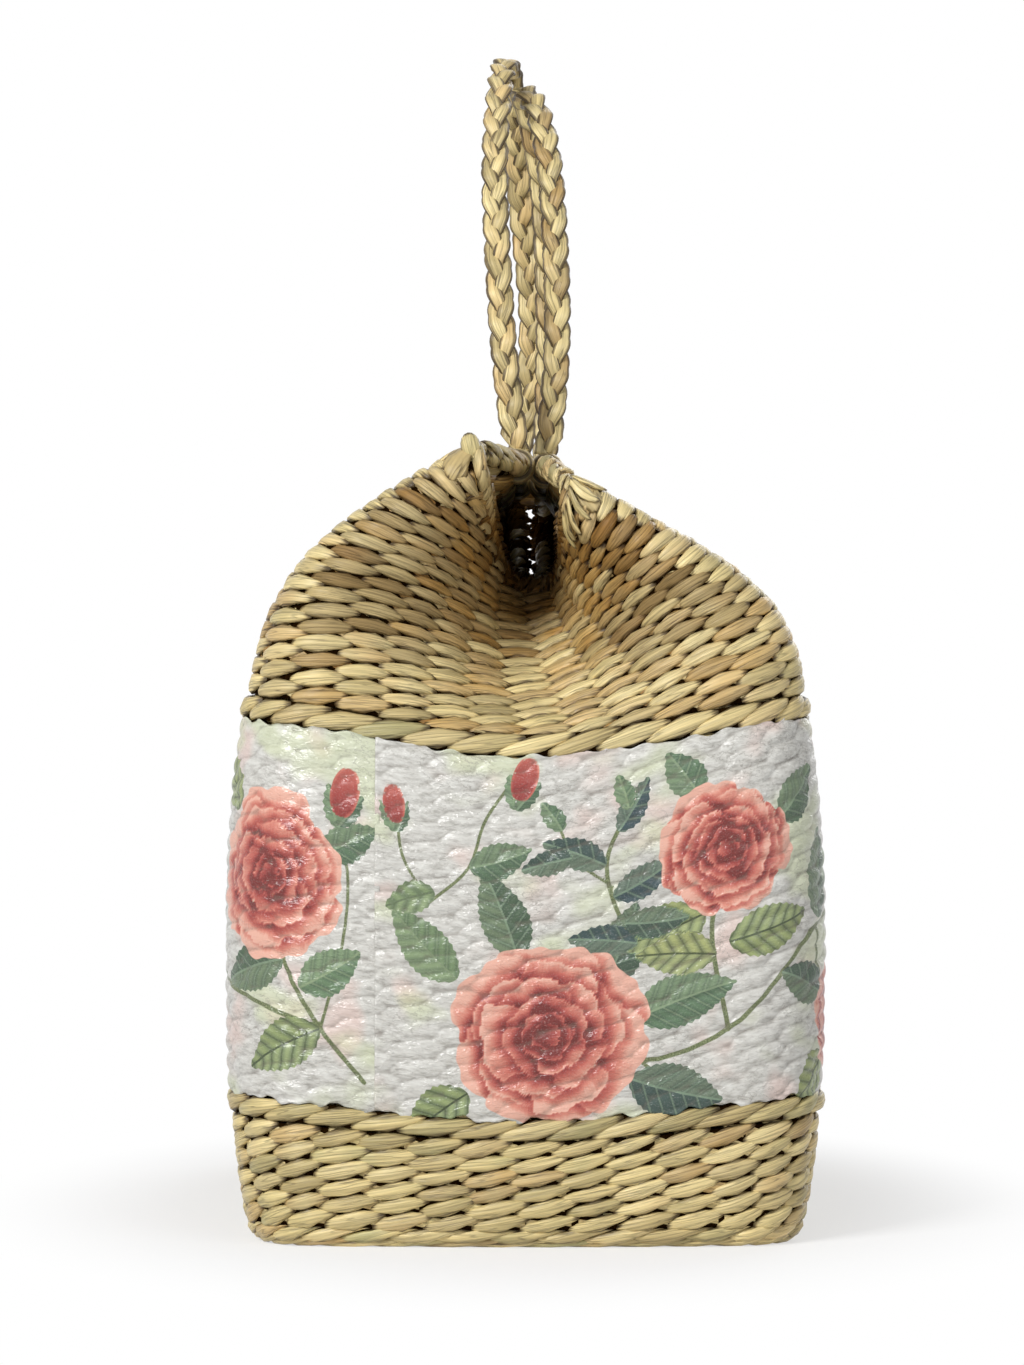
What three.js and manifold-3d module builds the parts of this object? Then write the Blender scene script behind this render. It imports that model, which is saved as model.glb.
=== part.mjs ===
import * as THREE from 'three';
import { mergeVertices } from 'three/addons/utils/BufferGeometryUtils.js';
import Module from 'manifold-3d';

// Picnic hamper twined from water reed: a flat-bottomed box basket whose upper walls lean in and
// whose ends fold inwards like a gift bag, with two plaited carrying handles looped round the rims.
// Millimetres. X runs across the width, Y along the length and Z up, with the origin on the floor
// under the middle of the base. The front is the -X long side and the near end is the -Y one.

// Box body
const WIDTH = 222;
const LENGTH = 350;
const CORNER_RADIUS = 35;
const END_BULGE = 4;
const WALL = 6;
const GAP = 0.3;

// Heights along the long sides, and how far the rows dip at the middle of each end wall
const BASE_THICKNESS = 6;
const FOOT_HEIGHT = 8;
const FOOT_ROUNDING = 6;
const FOOT_WIDTH = 13;
const LOWER_ROWS = 6;
const LOWER_BORDER_HEIGHT = 52;
const LOWER_BORDER_RADIUS = 4;
const LOWER_BORDER_DIP = 8.5;
const BELLY_HEIGHT = 118;
const SHOULDER_HEIGHT = 197;
const SHOULDER_RADIUS = 4.5;
const SHOULDER_DIP = 14;
const ROW_CROWN = 0.9;

// How far the wall stands in from the belly at the lower border and at the shoulder
const LOWER_BORDER_INSET = 1.5;
const SHOULDER_INSET = 6.5;

// Paper glued over the painted band of the wall
const PAPER = 0.8;

// Mouth: the two rims run side by side, a little off the middle
const MOUTH_X = 2.7;
const RIM_SPACING = 11.4;
const RIM_RADIUS = 3.5;
const RIM_CLEARANCE = 0.6;
const RIM_STRAIGHT = 88;
const HINGE_CLEARANCE = 0.5;

// Fold of each end: from the shoulder to the bottom of the U that ends it
const FOLD_END_Y = 57;
const FOLD_END_HEIGHT = 244;

// Ears, where the ridges of the folded ends reach the rims, and the long sides' panels short of them
const EAR_INSET = 25;
const EAR_Y = LENGTH / 2 - EAR_INSET;
const EAR_RADIUS = 6.5;
const PANEL_SHORT_OF_EAR = 15;
const FLAP_HALF_LENGTH = EAR_Y - PANEL_SHORT_OF_EAR;

// The two long sides: where the rim lies, how high each ear stands, and the shape of the middle
// and of the ridge as shares of the way in from the shoulder and of the way up
const SIDES = {
  front: {
    sign: -1,
    rimHeight: 289,
    earHeight: 287.5,
    earOut: { near: 17, far: 3.6 },
    middle: [[0.064, 0.24], [0.216, 0.467], [0.44, 0.64], [0.725, 0.79], [0.93, 0.9]],
    ridge: [[0.063, 0.206], [0.134, 0.376], [0.259, 0.55], [0.486, 0.724], [0.769, 0.887]],
  },
  back: {
    sign: 1,
    rimHeight: 288,
    earHeight: 275,
    earOut: { near: 15, far: 9 },
    middle: [[0.06, 0.235], [0.21, 0.45], [0.445, 0.615], [0.73, 0.76], [0.935, 0.89]],
    ridge: [[0.038, 0.226], [0.138, 0.43], [0.305, 0.6], [0.506, 0.731], [0.715, 0.837]],
  },
};

// The two ends: how far each side of the U stands from the fold
const ENDS = {
  near: { sign: -1, slotHalf: 11 },
  far: { sign: 1, slotHalf: 5.7 },
};

// Plaited handles: reach of each leg from the middle, height of the arch over its rim, and the
// sideways sway of the plait at even steps from the near leg over the top to the far leg
const HANDLES = {
  front: { reach: 78, rise: 163, sway: [0, -5.3, -8, -6.5, -4, -1.5, 1.5, 6, 0] },
  back: { reach: 60, rise: 153, sway: [0, 3, 2.3, -2.6, -9, -5, 0, 1.5, 0] },
};
const PLAIT_WIDTH = 12.5;
const PLAIT_THICKNESS = 9.5;
const LOOP_WALL = 2.4;
const LOOP_CLEARANCE = 0.4;
const LOOP_WIDTH = 12;
const WINDOW_CLEARANCE = 1.5;
const WINDOW_DEPTH = 5.5;

// Facets
const END_STEPS = 5;
const CORNER_STEPS = 4;
const RISE_STEPS = 9;
const ROPE_SIDES = 8;
const HANDLE_STEPS = 30;

const REED = { color: 0xc9b985, roughness: 0.62, metalness: 0 };
const REED_GREEN = { color: 0xb5b487, roughness: 0.62, metalness: 0 };
const PAINTED_REED = { color: 0xdcdad4, roughness: 0.45, metalness: 0 };
const VARNISHED_PAPER = { color: 0xe4e0dc, roughness: 0.25, metalness: 0 };

const wasm = await Module();
wasm.setup();

const { lerp, smoothstep } = THREE.MathUtils;
const vector = (x, y, z) => new THREE.Vector3(x, y, z);

// Closed solids from rings of points, with the faces turned outwards
function solidFrom(points, triangles) {
  const flat = points.flatMap((p) => [p.x, p.y, p.z]);
  let volume = 0;
  const normal = vector(0, 0, 0);
  for (const [a, b, c] of triangles) {
    normal.crossVectors(points[b], points[c]);
    volume += points[a].dot(normal);
  }
  const faces = volume < 0 ? triangles.map(([a, b, c]) => [a, c, b]) : triangles;
  const geometry = new THREE.BufferGeometry();
  geometry.setAttribute('position', new THREE.Float32BufferAttribute(flat, 3));
  geometry.setIndex(faces.flat());
  return geometry;
}

function quad(triangles, a, b, c, d) {
  triangles.push([a, b, c], [a, c, d]);
}

// Skin over successive rings of points; open runs get a fan over each end
function loft(rings, closed) {
  const sides = rings[0].length;
  const points = rings.flat();
  const triangles = [];
  const runs = closed ? rings.length : rings.length - 1;
  for (let i = 0; i < runs; i += 1) {
    const next = (i + 1) % rings.length;
    for (let j = 0; j < sides; j += 1) {
      const k = (j + 1) % sides;
      quad(triangles, i * sides + j, i * sides + k, next * sides + k, next * sides + j);
    }
  }
  if (!closed) {
    const last = (rings.length - 1) * sides;
    for (let j = 1; j < sides - 1; j += 1) {
      triangles.push([0, j + 1, j]);
      triangles.push([last, last + j, last + j + 1]);
    }
  }
  return solidFrom(points, triangles);
}

// Wall of even thickness over a grid of points on its middle surface. Its first and last columns
// end in faces square to the named axes, so that neighbours meet flush.
function slab(grid, thickness, firstAxis, lastAxis) {
  const rows = grid.length;
  const columns = grid[0].length;
  const layers = [1, -1].map((face) => grid.map((row, i) => row.map((point, j) => {
    const before = grid[Math.max(i - 1, 0)][j];
    const after = grid[Math.min(i + 1, rows - 1)][j];
    const below = row[Math.max(j - 1, 0)];
    const above = row[Math.min(j + 1, columns - 1)];
    const along = after.clone().sub(before);
    const up = above.clone().sub(below);
    const normal = along.cross(up);
    if (j === 0) {
      normal[firstAxis] = 0;
    }
    if (j === columns - 1) {
      normal[lastAxis] = 0;
    }
    return point.clone().addScaledVector(normal.normalize(), face * thickness / 2);
  })));
  const points = layers.flat(2);
  const index = (layer, i, j) => (layer * rows + i) * columns + j;
  const triangles = [];
  for (let i = 0; i < rows - 1; i += 1) {
    for (let j = 0; j < columns - 1; j += 1) {
      quad(triangles, index(0, i, j), index(0, i + 1, j), index(0, i + 1, j + 1), index(0, i, j + 1));
      quad(triangles, index(1, i, j), index(1, i, j + 1), index(1, i + 1, j + 1), index(1, i + 1, j));
    }
  }
  for (let i = 0; i < rows - 1; i += 1) {
    const top = columns - 1;
    quad(triangles, index(0, i, 0), index(1, i, 0), index(1, i + 1, 0), index(0, i + 1, 0));
    quad(triangles, index(0, i, top), index(0, i + 1, top), index(1, i + 1, top), index(1, i, top));
  }
  for (let j = 0; j < columns - 1; j += 1) {
    const end = rows - 1;
    quad(triangles, index(0, 0, j), index(0, 0, j + 1), index(1, 0, j + 1), index(1, 0, j));
    quad(triangles, index(0, end, j), index(1, end, j), index(1, end, j + 1), index(0, end, j + 1));
  }
  return solidFrom(points, triangles);
}

// The part of a direction that lies along one axis, so that an end face is square to that axis
function alongAxis(direction, axis) {
  const square = vector(0, 0, 0);
  square[axis] = Math.sign(direction[axis]);
  return square;
}

// Rope or plait along a path, with its section square to the path and carried on without twist
// from a first direction. A rope that meets another ends in faces square to the named axes.
function rope(path, halfWidth, halfThickness, reference, closed, firstAxis, lastAxis) {
  let wide = reference;
  const rings = path.map((point, i) => {
    const before = closed ? path.at(i - 1) : path[Math.max(i - 1, 0)];
    const after = closed ? path[(i + 1) % path.length] : path[Math.min(i + 1, path.length - 1)];
    let tangent = after.clone().sub(before).normalize();
    if (firstAxis && i === 0) {
      tangent = alongAxis(tangent, firstAxis);
    }
    if (lastAxis && i === path.length - 1) {
      tangent = alongAxis(tangent, lastAxis);
    }
    wide = wide.clone().addScaledVector(tangent, -wide.dot(tangent)).normalize();
    const thick = tangent.clone().cross(wide);
    return Array.from({ length: ROPE_SIDES }, (_, j) => {
      const angle = (j + 0.5) * 2 * Math.PI / ROPE_SIDES;
      return point.clone()
        .addScaledVector(wide, halfWidth * Math.cos(angle))
        .addScaledVector(thick, halfThickness * Math.sin(angle));
    });
  });
  return loft(rings, closed);
}

function toManifold(geometry) {
  const bare = new THREE.BufferGeometry();
  bare.setAttribute('position', geometry.getAttribute('position').clone());
  bare.setIndex(geometry.getIndex());
  const merged = mergeVertices(bare, 1e-4);
  return new wasm.Manifold(new wasm.Mesh({
    numProp: 3,
    vertProperties: new Float32Array(merged.getAttribute('position').array),
    triVerts: new Uint32Array(merged.getIndex().array),
  }));
}

function toGeometry(manifold) {
  const mesh = manifold.getMesh();
  const geometry = new THREE.BufferGeometry();
  geometry.setAttribute('position', new THREE.BufferAttribute(new Float32Array(mesh.vertProperties), 3));
  geometry.setIndex(new THREE.BufferAttribute(new Uint32Array(mesh.triVerts), 1));
  return geometry;
}

// What a cut leaves, without the slivers that can stay beyond the tool
function cutFrom(geometry, tools) {
  const cut = tools.reduce((solid, tool) => solid.subtract(toManifold(tool)), toManifold(geometry));
  const pieces = cut.decompose().sort((a, b) => b.volume() - a.volume());
  return toGeometry(pieces[0]);
}

// Body rings. A quarter of the outline runs from the middle of an end to the middle of a long side.
const END_RUN = WIDTH / 2 - CORNER_RADIUS;
const QUARTER_STATIONS = [
  ...Array.from({ length: END_STEPS }, (_, i) => ({ end: i / END_STEPS, turn: 0, side: 0 })),
  ...Array.from({ length: CORNER_STEPS + 1 }, (_, i) => ({ end: 1, turn: i / CORNER_STEPS, side: 0 })),
  { end: 1, turn: 1, side: 1 },
];

function ringOrder() {
  const up = QUARTER_STATIONS.slice(0, -1);
  const down = QUARTER_STATIONS.slice(1).reverse();
  const quarters = [[up, -1, -1], [down, -1, 1], [up, 1, 1], [down, 1, -1]];
  return quarters.flatMap(([stations, sx, sy]) => stations.map((station) => ({ station, sx, sy })));
}

const LOWER_DIP_RATE = LOWER_BORDER_DIP / LOWER_BORDER_HEIGHT;
const BAND_DIP_RATE = (SHOULDER_DIP - LOWER_BORDER_DIP) / (SHOULDER_HEIGHT - LOWER_BORDER_HEIGHT);

function dipAt(height) {
  const above = height - LOWER_BORDER_HEIGHT;
  return LOWER_BORDER_DIP + above * (above < 0 ? LOWER_DIP_RATE : BAND_DIP_RATE);
}

// Heights that stay clear of a border rope where the dipping rows crowd at the ends
const LOWER_ROWS_TOP = LOWER_BORDER_HEIGHT - (LOWER_BORDER_RADIUS + GAP / 2) / (1 - LOWER_DIP_RATE);
const BAND_BOTTOM = LOWER_BORDER_HEIGHT + (LOWER_BORDER_RADIUS + GAP) / (1 - BAND_DIP_RATE);
const BAND_TOP = SHOULDER_HEIGHT - (SHOULDER_RADIUS + GAP) / (1 - BAND_DIP_RATE);

function insetAt(height) {
  if (height < BELLY_HEIGHT) {
    const share = (BELLY_HEIGHT - height) / (BELLY_HEIGHT - LOWER_BORDER_HEIGHT);
    return LOWER_BORDER_INSET * share ** 3;
  }
  const share = (height - BELLY_HEIGHT) / (SHOULDER_HEIGHT - BELLY_HEIGHT);
  return SHOULDER_INSET * share ** 2;
}

// A point of the outline, with x and y measured outwards from the middle
function outlinePoint({ end, turn, side }, inset, height) {
  const radius = CORNER_RADIUS - inset;
  const angle = turn * Math.PI / 2;
  const x = end * END_RUN + radius * Math.sin(angle);
  const cornerY = LENGTH / 2 - END_BULGE - CORNER_RADIUS;
  const straight = (cornerY + radius * Math.cos(angle)) * (1 - side);
  const bulge = END_BULGE * Math.cos(Math.PI * Math.min(x, WIDTH / 2) / WIDTH) ** 2;
  const quarterRun = END_RUN + radius * Math.PI / 2;
  const run = end * END_RUN + radius * angle;
  const dip = dipAt(height) * (0.5 + 0.5 * Math.cos(Math.PI * run / quarterRun));
  return vector(x, straight + bulge * (1 - side), height - dip);
}

function ringPoint({ station, sx, sy }, inset, height) {
  const point = outlinePoint(station, inset, height);
  return vector(sx * point.x, sy * point.y, point.z);
}

// A ring all round the body from its section, given as [depth behind the outer face, height]
function ringSolid(section) {
  const rings = ringOrder().map((place) => section.map(([depth, height]) => (
    ringPoint(place, insetAt(height) + depth, height))));
  return loft(rings, true);
}

function ringPath(depth, height) {
  return ringOrder().map((place) => ringPoint(place, insetAt(height) + depth, height));
}

function baseMat() {
  const inset = insetAt(0) + FOOT_ROUNDING + FOOT_WIDTH + GAP;
  const outline = ringOrder().map((place) => {
    const point = ringPoint(place, inset, 0);
    return new THREE.Vector2(point.x, point.y);
  });
  return new THREE.ExtrudeGeometry(new THREE.Shape(outline), { depth: BASE_THICKNESS, bevelEnabled: false });
}

// The turn from base to wall: flat underneath, rounded outside
function footRow() {
  const top = FOOT_HEIGHT - GAP / 2;
  return ringSolid([
    [FOOT_ROUNDING, 0],
    [FOOT_ROUNDING * 0.3, FOOT_HEIGHT * 0.2],
    [0, FOOT_HEIGHT * 0.6],
    [ROW_CROWN, top],
    [FOOT_ROUNDING + FOOT_WIDTH, top],
    [FOOT_ROUNDING + FOOT_WIDTH, 0],
  ]);
}

function wovenRow(bottom, top) {
  return ringSolid([
    [ROW_CROWN, bottom],
    [0, (bottom + top) / 2],
    [ROW_CROWN, top],
    [WALL, top],
    [WALL, bottom],
  ]);
}

// Band of wall between the two borders, from one depth to another
function band(outerDepth, innerDepth) {
  const levels = [0, 0.35, 0.7, 1].map((share) => lerp(BAND_BOTTOM, BAND_TOP, share));
  const outer = levels.map((height) => [outerDepth, height]);
  const inner = levels.map((height) => [innerDepth, height]).reverse();
  return ringSolid([...outer, ...inner]);
}

// Upper walls. Each quarter of a row runs from the fold, over the ridge, to the middle of the
// long side, in local axes: x outwards from the middle, y towards the end.
const SHOULDER_OUT = WIDTH / 2 - SHOULDER_INSET - WALL / 2;
const SHOULDER_END = LENGTH / 2 - END_BULGE - SHOULDER_INSET - WALL / 2;
const SHOULDER_TURN = CORNER_RADIUS - SHOULDER_INSET - WALL / 2;
const CORNER_TIP = 1 - Math.SQRT1_2;

function rimOut(side) {
  return RIM_SPACING / 2 + SIDES[side].sign * MOUTH_X;
}

function profile(shares, rimX, rimHeight) {
  const stops = [[0, 0], ...shares, [1, 1]];
  return new THREE.CatmullRomCurve3(stops.map(([inward, up]) => vector(
    lerp(SHOULDER_OUT, rimX, inward), 0, lerp(SHOULDER_HEIGHT, rimHeight, up))));
}

const PROFILES = {};
for (const [name, side] of Object.entries(SIDES)) {
  PROFILES[name] = { middle: profile(side.middle, rimOut(name), side.rimHeight) };
  for (const end of Object.keys(ENDS)) {
    PROFILES[name][end] = profile(side.ridge, side.earOut[end], side.earHeight);
  }
}

// Row at a share of the way up, before it is fitted to the shoulder
function freeRow(side, end, up) {
  const foldX = SIDES[side].sign * MOUTH_X * up;
  const foldStart = SHOULDER_END + END_BULGE;
  const foldBottom = SHOULDER_HEIGHT - SHOULDER_DIP;
  const fold = vector(foldX, lerp(foldStart, FOLD_END_Y, up), lerp(foldBottom, FOLD_END_HEIGHT, up));
  const radius = lerp(EAR_RADIUS, SHOULDER_TURN, (1 - up) ** 1.5);
  const ridge = PROFILES[side][end].getPointAt(up);
  const tipX = ridge.x - CORNER_TIP * radius * (1 - up);
  const tipY = lerp(SHOULDER_END - CORNER_TIP * SHOULDER_TURN, EAR_Y, up);
  const tip = vector(tipX, tipY, ridge.z);
  const toSlot = vector(foldX + ENDS[end].slotHalf, fold.y, fold.z).sub(tip).normalize();
  const inward = vector(-1, 0, 0).lerp(toSlot, up ** 0.7).normalize();
  const alongSide = vector(0, -1, 0);
  const bisector = inward.clone().add(alongSide).normalize();
  const across = inward.clone().addScaledVector(bisector, -inward.dot(bisector)).normalize();
  const centre = tip.clone().addScaledVector(bisector, radius);
  const sweep = (Math.PI - inward.angleTo(alongSide)) / 2;
  const turnPoint = (share) => {
    const angle = lerp(sweep, -sweep, share);
    return centre.clone()
      .addScaledVector(bisector, -radius * Math.cos(angle))
      .addScaledVector(across, radius * Math.sin(angle));
  };
  const start = turnPoint(0);
  const reach = fold.distanceTo(start);
  const gusset = new THREE.CubicBezierCurve3(
    fold,
    fold.clone().add(vector(0.4 * reach * (1 - up) + 1.4 * ENDS[end].slotHalf * up, 0, 0)),
    start.clone().addScaledVector(inward, 0.42 * reach),
    start);
  return { gusset, turnPoint, corner: turnPoint(1), middle: PROFILES[side].middle.getPointAt(up) };
}

function freePoint(row, { end, turn, side }) {
  if (side > 0) {
    return flapPoint(row, row.corner.y * (1 - side));
  }
  return turn > 0 || end === 1 ? row.turnPoint(turn) : row.gusset.getPoint(end);
}

function flapPoint(row, y) {
  const share = smoothstep(y, RIM_STRAIGHT, row.corner.y);
  return vector(lerp(row.middle.x, row.corner.x, share), y, lerp(row.middle.z, row.corner.z, share));
}

// Point of the upper wall: the free row, eased down to the shoulder line near the bottom
function upperPoint(side, end, up, station) {
  const point = freePoint(freeRow(side, end, up), station);
  const shoulder = outlinePoint(station, SHOULDER_INSET + WALL / 2, SHOULDER_HEIGHT);
  const miss = shoulder.sub(freePoint(freeRow(side, end, 0), station));
  point.addScaledVector(miss, (1 - up) ** 2);
  return vector(SIDES[side].sign * point.x, ENDS[end].sign * point.y, point.z);
}

// Where a row of a long side crosses a given distance from the middle
function sidePoint(side, y, up) {
  const end = y < 0 ? 'near' : 'far';
  const point = flapPoint(freeRow(side, end, up), Math.abs(y));
  return vector(SIDES[side].sign * point.x, y, point.z);
}

const RISE = Array.from({ length: RISE_STEPS + 1 }, (_, i) => i / RISE_STEPS);
const FOLD_STATIONS = QUARTER_STATIONS.slice(0, -1);

// Quarter of a row on a folded end, from the fold round the ridge to the long side's panel
function gussetRow(side, end, up) {
  const points = FOLD_STATIONS.map((station) => upperPoint(side, end, up, station));
  points[0].x += SIDES[side].sign * GAP / 2;
  points.push(sidePoint(side, ENDS[end].sign * (FLAP_HALF_LENGTH + GAP / 2), up));
  return points;
}

// Distances from the middle at which a long side's panel is drawn: straight, then easing outwards
const FLAP_SHARES = [1, 2 / 3, 1 / 3, 0];
const FLAP_REACHES = FLAP_SHARES.map((share) => lerp(RIM_STRAIGHT, FLAP_HALF_LENGTH - GAP / 2, share));
const FLAP_STATIONS = [...FLAP_REACHES.map((y) => -y), 0, ...FLAP_REACHES.toReversed()];

function rimPath(side) {
  return FLAP_STATIONS.map((y) => sidePoint(side, y, 1));
}

const upright = vector(0, 0, 1);
const sideways = vector(1, 0, 0);

// A rod along Y, used for loops and to cut hinge clearances
function rodAlongY(x, z, radius, fromY, toY, sides) {
  const rings = [fromY, toY].map((y) => Array.from({ length: sides }, (_, j) => {
    const angle = (j + 0.5) * 2 * Math.PI / sides;
    return vector(x + radius * Math.cos(angle), y, z + radius * Math.sin(angle));
  }));
  return loft(rings, false);
}

// Circles are drawn as polygons, so a cut must clear the polygon's flats
const FLAT_SHARE = 1 / Math.cos(Math.PI / ROPE_SIDES);

const LOOP_BORE = RIM_RADIUS + LOOP_CLEARANCE;
const LOOP_OUTER = LOOP_BORE + LOOP_WALL;

function legWindows(side) {
  const x = SIDES[side].sign * rimOut(side);
  const half = LOOP_WIDTH / 2 + WINDOW_CLEARANCE;
  const radius = (LOOP_OUTER + WINDOW_DEPTH) * FLAT_SHARE;
  return [-1, 1].map((end) => {
    const y = end * HANDLES[side].reach;
    return rodAlongY(x, SIDES[side].rimHeight, radius, y - half, y + half, 2 * ROPE_SIDES);
  });
}

// Room for the rim rope along the top of a wall, run on a little past both ends
function rimCut(path, firstAxis, lastAxis) {
  const radius = (RIM_RADIUS + RIM_CLEARANCE) * FLAT_SHARE;
  path[0][firstAxis] -= GAP * Math.sign(path[1][firstAxis] - path[0][firstAxis]);
  path.at(-1)[lastAxis] -= GAP * Math.sign(path.at(-2)[lastAxis] - path.at(-1)[lastAxis]);
  return rope(path, radius, radius, upright, false, firstAxis, lastAxis);
}

function gusset(side, end) {
  const grid = RISE.map((up) => gussetRow(side, end, up));
  const wall = slab(grid, WALL, 'x', 'y');
  const shoulder = rope(
    ringPath(WALL / 2, SHOULDER_HEIGHT), (SHOULDER_RADIUS + GAP) * FLAT_SHARE,
    (SHOULDER_RADIUS + GAP) * FLAT_SHARE, upright, true);
  const rim = rimCut(gussetRow(side, end, 1), 'x', 'y');
  return cutFrom(wall, [shoulder, rim]);
}

function upperWall(side) {
  const grid = RISE.map((up) => FLAP_STATIONS.map((y) => sidePoint(side, y, up)));
  const wall = slab(grid, WALL, 'y', 'y');
  const hingeX = SIDES[side].sign * SHOULDER_OUT;
  const hinge = rodAlongY(
    hingeX, SHOULDER_HEIGHT, (SHOULDER_RADIUS + HINGE_CLEARANCE) * FLAT_SHARE,
    -LENGTH / 2, LENGTH / 2, 2 * ROPE_SIDES);
  const rim = rimCut(rimPath(side), 'y', 'y');
  return cutFrom(wall, [hinge, rim, ...legWindows(side)]);
}

// Plaited handles
function handlePath(side) {
  const { reach, rise, sway } = HANDLES[side];
  const swayCurve = new THREE.CatmullRomCurve3(sway.map((x, i) => vector(x, i, 0)));
  const rimX = SIDES[side].sign * rimOut(side);
  const start = Math.asin((LOOP_OUTER + GAP) / rise);
  return Array.from({ length: HANDLE_STEPS + 1 }, (_, i) => {
    const angle = lerp(start, Math.PI - start, i / HANDLE_STEPS);
    const offset = swayCurve.getPoint(angle / Math.PI).x;
    const z = SIDES[side].rimHeight + rise * Math.sin(angle);
    return vector(rimX + offset, -reach * Math.cos(angle), z);
  });
}

function handleLoop(side, end) {
  const x = SIDES[side].sign * rimOut(side);
  const y = ENDS[end].sign * HANDLES[side].reach;
  const z = SIDES[side].rimHeight;
  const sides = 2 * ROPE_SIDES;
  const outer = rodAlongY(x, z, LOOP_OUTER, y - LOOP_WIDTH / 2, y + LOOP_WIDTH / 2, sides);
  const bore = rodAlongY(x, z, LOOP_BORE * FLAT_SHARE, y - LOOP_WIDTH, y + LOOP_WIDTH, sides);
  return cutFrom(outer, [bore]);
}

const group = new THREE.Group();

function add(name, geometry, finish) {
  const bare = new THREE.BufferGeometry();
  bare.setAttribute('position', geometry.getAttribute('position').clone());
  bare.setIndex(geometry.getIndex());
  const merged = mergeVertices(bare, 1e-4);
  merged.computeVertexNormals();
  const mesh = new THREE.Mesh(merged, new THREE.MeshStandardMaterial(finish));
  mesh.name = name;
  group.add(mesh);
}

add('base_mat', baseMat(), REED);
add('foot_row', footRow(), REED_GREEN);
const rowPitch = (LOWER_ROWS_TOP - FOOT_HEIGHT) / LOWER_ROWS;
for (let row = 0; row < LOWER_ROWS; row += 1) {
  const bottom = FOOT_HEIGHT + row * rowPitch + GAP / 2;
  const top = FOOT_HEIGHT + (row + 1) * rowPitch - GAP / 2;
  add(`lower_row_${row + 1}`, wovenRow(bottom, top), row % 2 ? REED_GREEN : REED);
}
add('lower_border', rope(
  ringPath(WALL / 2, LOWER_BORDER_HEIGHT), LOWER_BORDER_RADIUS, LOWER_BORDER_RADIUS, upright, true), REED);
add('painted_wall', band(PAPER + GAP, WALL), PAINTED_REED);
add('paper_wrap', band(0, PAPER), VARNISHED_PAPER);
add('shoulder_border', rope(
  ringPath(WALL / 2, SHOULDER_HEIGHT), SHOULDER_RADIUS, SHOULDER_RADIUS, upright, true), REED);

for (const side of Object.keys(SIDES)) {
  add(`${side}_upper_wall`, upperWall(side), REED);
  add(`${side}_rim`, rope(
    rimPath(side), RIM_RADIUS, RIM_RADIUS, upright, false, 'y', 'y'), REED_GREEN);
  add(`${side}_handle_plait`, rope(
    handlePath(side), PLAIT_WIDTH / 2, PLAIT_THICKNESS / 2, sideways, false), REED);
  for (const end of Object.keys(ENDS)) {
    add(`${side}_handle_${end}_loop`, handleLoop(side, end), REED_GREEN);
    add(`${end}_${side}_gusset`, gusset(side, end), REED);
    add(`${end}_${side}_gusset_rim`, rope(
      gussetRow(side, end, 1), RIM_RADIUS, RIM_RADIUS, upright, false, 'x', 'y'), REED_GREEN);
  }
}

export default group;
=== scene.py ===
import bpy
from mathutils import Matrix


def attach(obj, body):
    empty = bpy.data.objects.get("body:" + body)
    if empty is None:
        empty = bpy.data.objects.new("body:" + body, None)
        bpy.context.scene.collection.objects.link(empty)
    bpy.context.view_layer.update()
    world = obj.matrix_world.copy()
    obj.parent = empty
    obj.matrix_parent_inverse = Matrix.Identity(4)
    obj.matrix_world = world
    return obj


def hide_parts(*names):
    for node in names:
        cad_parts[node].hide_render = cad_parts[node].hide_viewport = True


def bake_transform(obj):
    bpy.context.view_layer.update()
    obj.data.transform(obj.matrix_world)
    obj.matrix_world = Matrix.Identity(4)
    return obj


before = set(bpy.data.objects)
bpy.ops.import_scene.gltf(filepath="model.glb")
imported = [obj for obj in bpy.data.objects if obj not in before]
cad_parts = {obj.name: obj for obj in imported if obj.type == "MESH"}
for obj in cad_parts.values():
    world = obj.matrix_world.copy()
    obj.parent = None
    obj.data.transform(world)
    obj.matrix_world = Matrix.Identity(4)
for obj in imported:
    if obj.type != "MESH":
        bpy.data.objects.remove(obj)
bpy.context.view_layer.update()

# %% [markdown]
# # A twined picnic hamper
# The real hamper is twined from dried water reed. Flat reeds run up the wall as stakes, and pairs
# of reeds are twisted round them in level rows, so the eye sees thousands of short fat stitches.
# Nothing on it is flat or smooth, so this lesson models one stitch and lays copies of it
# over the walls, which are worked out as plain surfaces first.

# %% Modules and the units
import math
from functools import partial

import bpy
import numpy as np

MM = 0.001
rng = np.random.default_rng(11)

# %% [markdown]
# ## The camera
# The photograph is taken level with the shoulder of the bag, straight at its narrow end. A long
# lens from 1.7 m keeps the side walls almost hidden, so the lens comes from the distance and from
# the height that the picture takes in at the near end.

# %% Camera at the photograph's place
PHOTO_DISTANCE = 1.7
PHOTO_FIELD = 0.494
NEAR_END = -0.175
EYE_HEIGHT = 0.206
EYE_X = -0.005
SENSOR = 36

bpy.ops.object.camera_add(
    location=(EYE_X, NEAR_END - PHOTO_DISTANCE, EYE_HEIGHT), rotation=(math.pi / 2, 0, 0))
camera = bpy.context.object
camera.name = "camera"
camera.data.sensor_width = SENSOR
camera.data.lens = SENSOR * PHOTO_DISTANCE / PHOTO_FIELD
bpy.context.scene.camera = camera
print("lens", round(camera.data.lens, 1), "mm")

# %% [markdown]
# ## The wall as a surface
# The wall is a box with rounded corners up to the shoulder, and above it the long sides lean in
# and the ends fold inwards. A stitch needs to know where it lies on that wall, so the wall is
# described by two numbers: how many stitches round it is, and how far up. The sizes and curves are
# those of the CAD part, in millimetres.

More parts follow.
